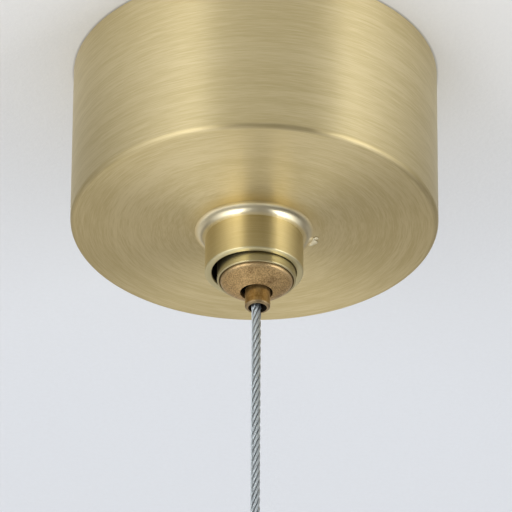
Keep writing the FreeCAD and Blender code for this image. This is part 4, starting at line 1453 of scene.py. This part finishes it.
class PENDANT_OT_lamp_end(bpy.types.Operator):
    """Turn the swivelling cap with its inner thread, and the grub screw"""
    bl_idname = "pendant.lamp_end"
    bl_label = "Lamp's end"

    def execute(self, context):
        canopy = context.scene.pendant.canopy
        fittings = context.scene.pendant.fittings
        self.make_cap(canopy, fittings)
        self.make_grub_screw()
        dress("swivel_washer", finish("Natural nylon", natural_nylon, fittings))
        dress("rope_nipple", finish("Nipple steel", plain_steel, NIPPLE_STEEL, 0.3))
        return {"FINISHED"}

    def make_cap(self, canopy, fittings):
        top, end, radius = CAP_HIGH.z, CAP_LOW.z, CAP_HIGH.x
        thread_top = end + CAP_THREAD_LENGTH
        minor = CAP_THREAD_RADIUS
        major = minor + fittings.thread_depth
        shape = turned([
            (CAP_HOLE, top, 0.3 * MM),
            (CAP_HOLE, top - CAP_HOLE_DEPTH),
            (CAP_WELL, top - CAP_HOLE_DEPTH),
            (CAP_WELL, thread_top),
            (major, thread_top),
            (major, end, 0.2 * MM),
            (radius, end, 0.25 * MM),
            (radius, top, 1.2 * MM),
        ], 128)
        add_thread(shape, major, minor, end + 0.5 * MM, thread_top, fittings.thread_pitch)
        brass = finish("Brushed cap brass", brushed_cap, canopy)
        even_normals(add_piece("lamp_cap_turned", shape, brass, "lamp_end",
                               ["lamp_cap"]))

    def make_grub_screw(self):
        low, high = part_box("lamp_grub_screw")
        shape = bmesh.new()
        bmesh.ops.create_circle(shape, cap_ends=False, radius=(high.z - low.z) / 2, segments=48)
        socket = bmesh.ops.create_circle(shape, cap_ends=False, radius=GRUB_SOCKET_RADIUS,
                                         segments=6)["verts"]
        bmesh.ops.bridge_loops(shape, edges=shape.edges)
        rim = [edge for edge in shape.edges if edge.is_boundary and edge.verts[0] not in socket]
        self.close_wall(shape, rim, low.x - high.x)
        hexagon = [edge for edge in shape.edges if edge.is_boundary]
        self.close_wall(shape, hexagon, -GRUB_SOCKET_DEPTH)
        face_outwards(shape)
        middle = (low + high) / 2
        turn = (Matrix.Translation((high.x, middle.y, middle.z))
                @ Matrix.Rotation(TURN / 4, 4, "Y"))
        bmesh.ops.transform(shape, matrix=turn, verts=shape.verts)
        steel = finish("Black screw steel", plain_steel, BLACK_STEEL, 0.35)
        add_piece("lamp_grub_screw_hex", shape, steel, "lamp_end",
                  ["lamp_grub_screw"], 25)

    def close_wall(self, shape, edges, height):
        """Draw a wall out of the edges, and close its far end."""
        wall = bmesh.ops.extrude_edge_only(shape, edges=edges)["geom"]
        verts = only(bmesh.types.BMVert, wall)
        bmesh.ops.translate(shape, vec=(0, 0, height), verts=verts)
        bmesh.ops.contextual_create(shape, geom=verts)


OPERATORS = (
    PENDANT_OT_stage,
    PENDANT_OT_rope_drop,
    PENDANT_OT_rope_spare,
    PENDANT_OT_canopy,
    PENDANT_OT_neck,
    PENDANT_OT_gripper,
    PENDANT_OT_spring,
    PENDANT_OT_fittings,
    PENDANT_OT_lamp_end,
)


class PENDANT_PT_panel(bpy.types.Panel):
    """Sizes, colours and pieces of the pendant"""
    bl_idname = "PENDANT_PT_panel"
    bl_label = "Pendant"
    bl_space_type = "VIEW_3D"
    bl_region_type = "UI"
    bl_category = "Pendant"

    def draw(self, context):
        pendant = context.scene.pendant
        for name in ("stage", "canopy", "gripper", "rope", "fittings"):
            settings = getattr(pendant, name)
            box = self.layout.box()
            box.label(text=name.capitalize())
            for size in settings.__annotations__:
                box.prop(settings, size)
        for operator in OPERATORS:
            self.layout.operator(operator.bl_idname)


CLASSES = (StageSettings, CanopySettings, GripperSettings, RopeSettings, FittingSettings,
           PendantSettings, *OPERATORS, PENDANT_PT_panel)


def register():
    for cls in CLASSES:
        bpy.utils.register_class(cls)
    bpy.types.Scene.pendant = PointerProperty(type=PendantSettings)


def unregister():
    del bpy.types.Scene.pendant
    for cls in reversed(CLASSES):
        bpy.utils.unregister_class(cls)


def main():
    register()
    bpy.ops.pendant.stage()
    bpy.ops.pendant.rope_drop()
    bpy.ops.pendant.rope_spare()
    bpy.ops.pendant.canopy()
    bpy.ops.pendant.neck()
    bpy.ops.pendant.gripper()
    bpy.ops.pendant.spring()
    bpy.ops.pendant.fittings()
    bpy.ops.pendant.lamp_end()


if __name__ == "__main__":
    main()
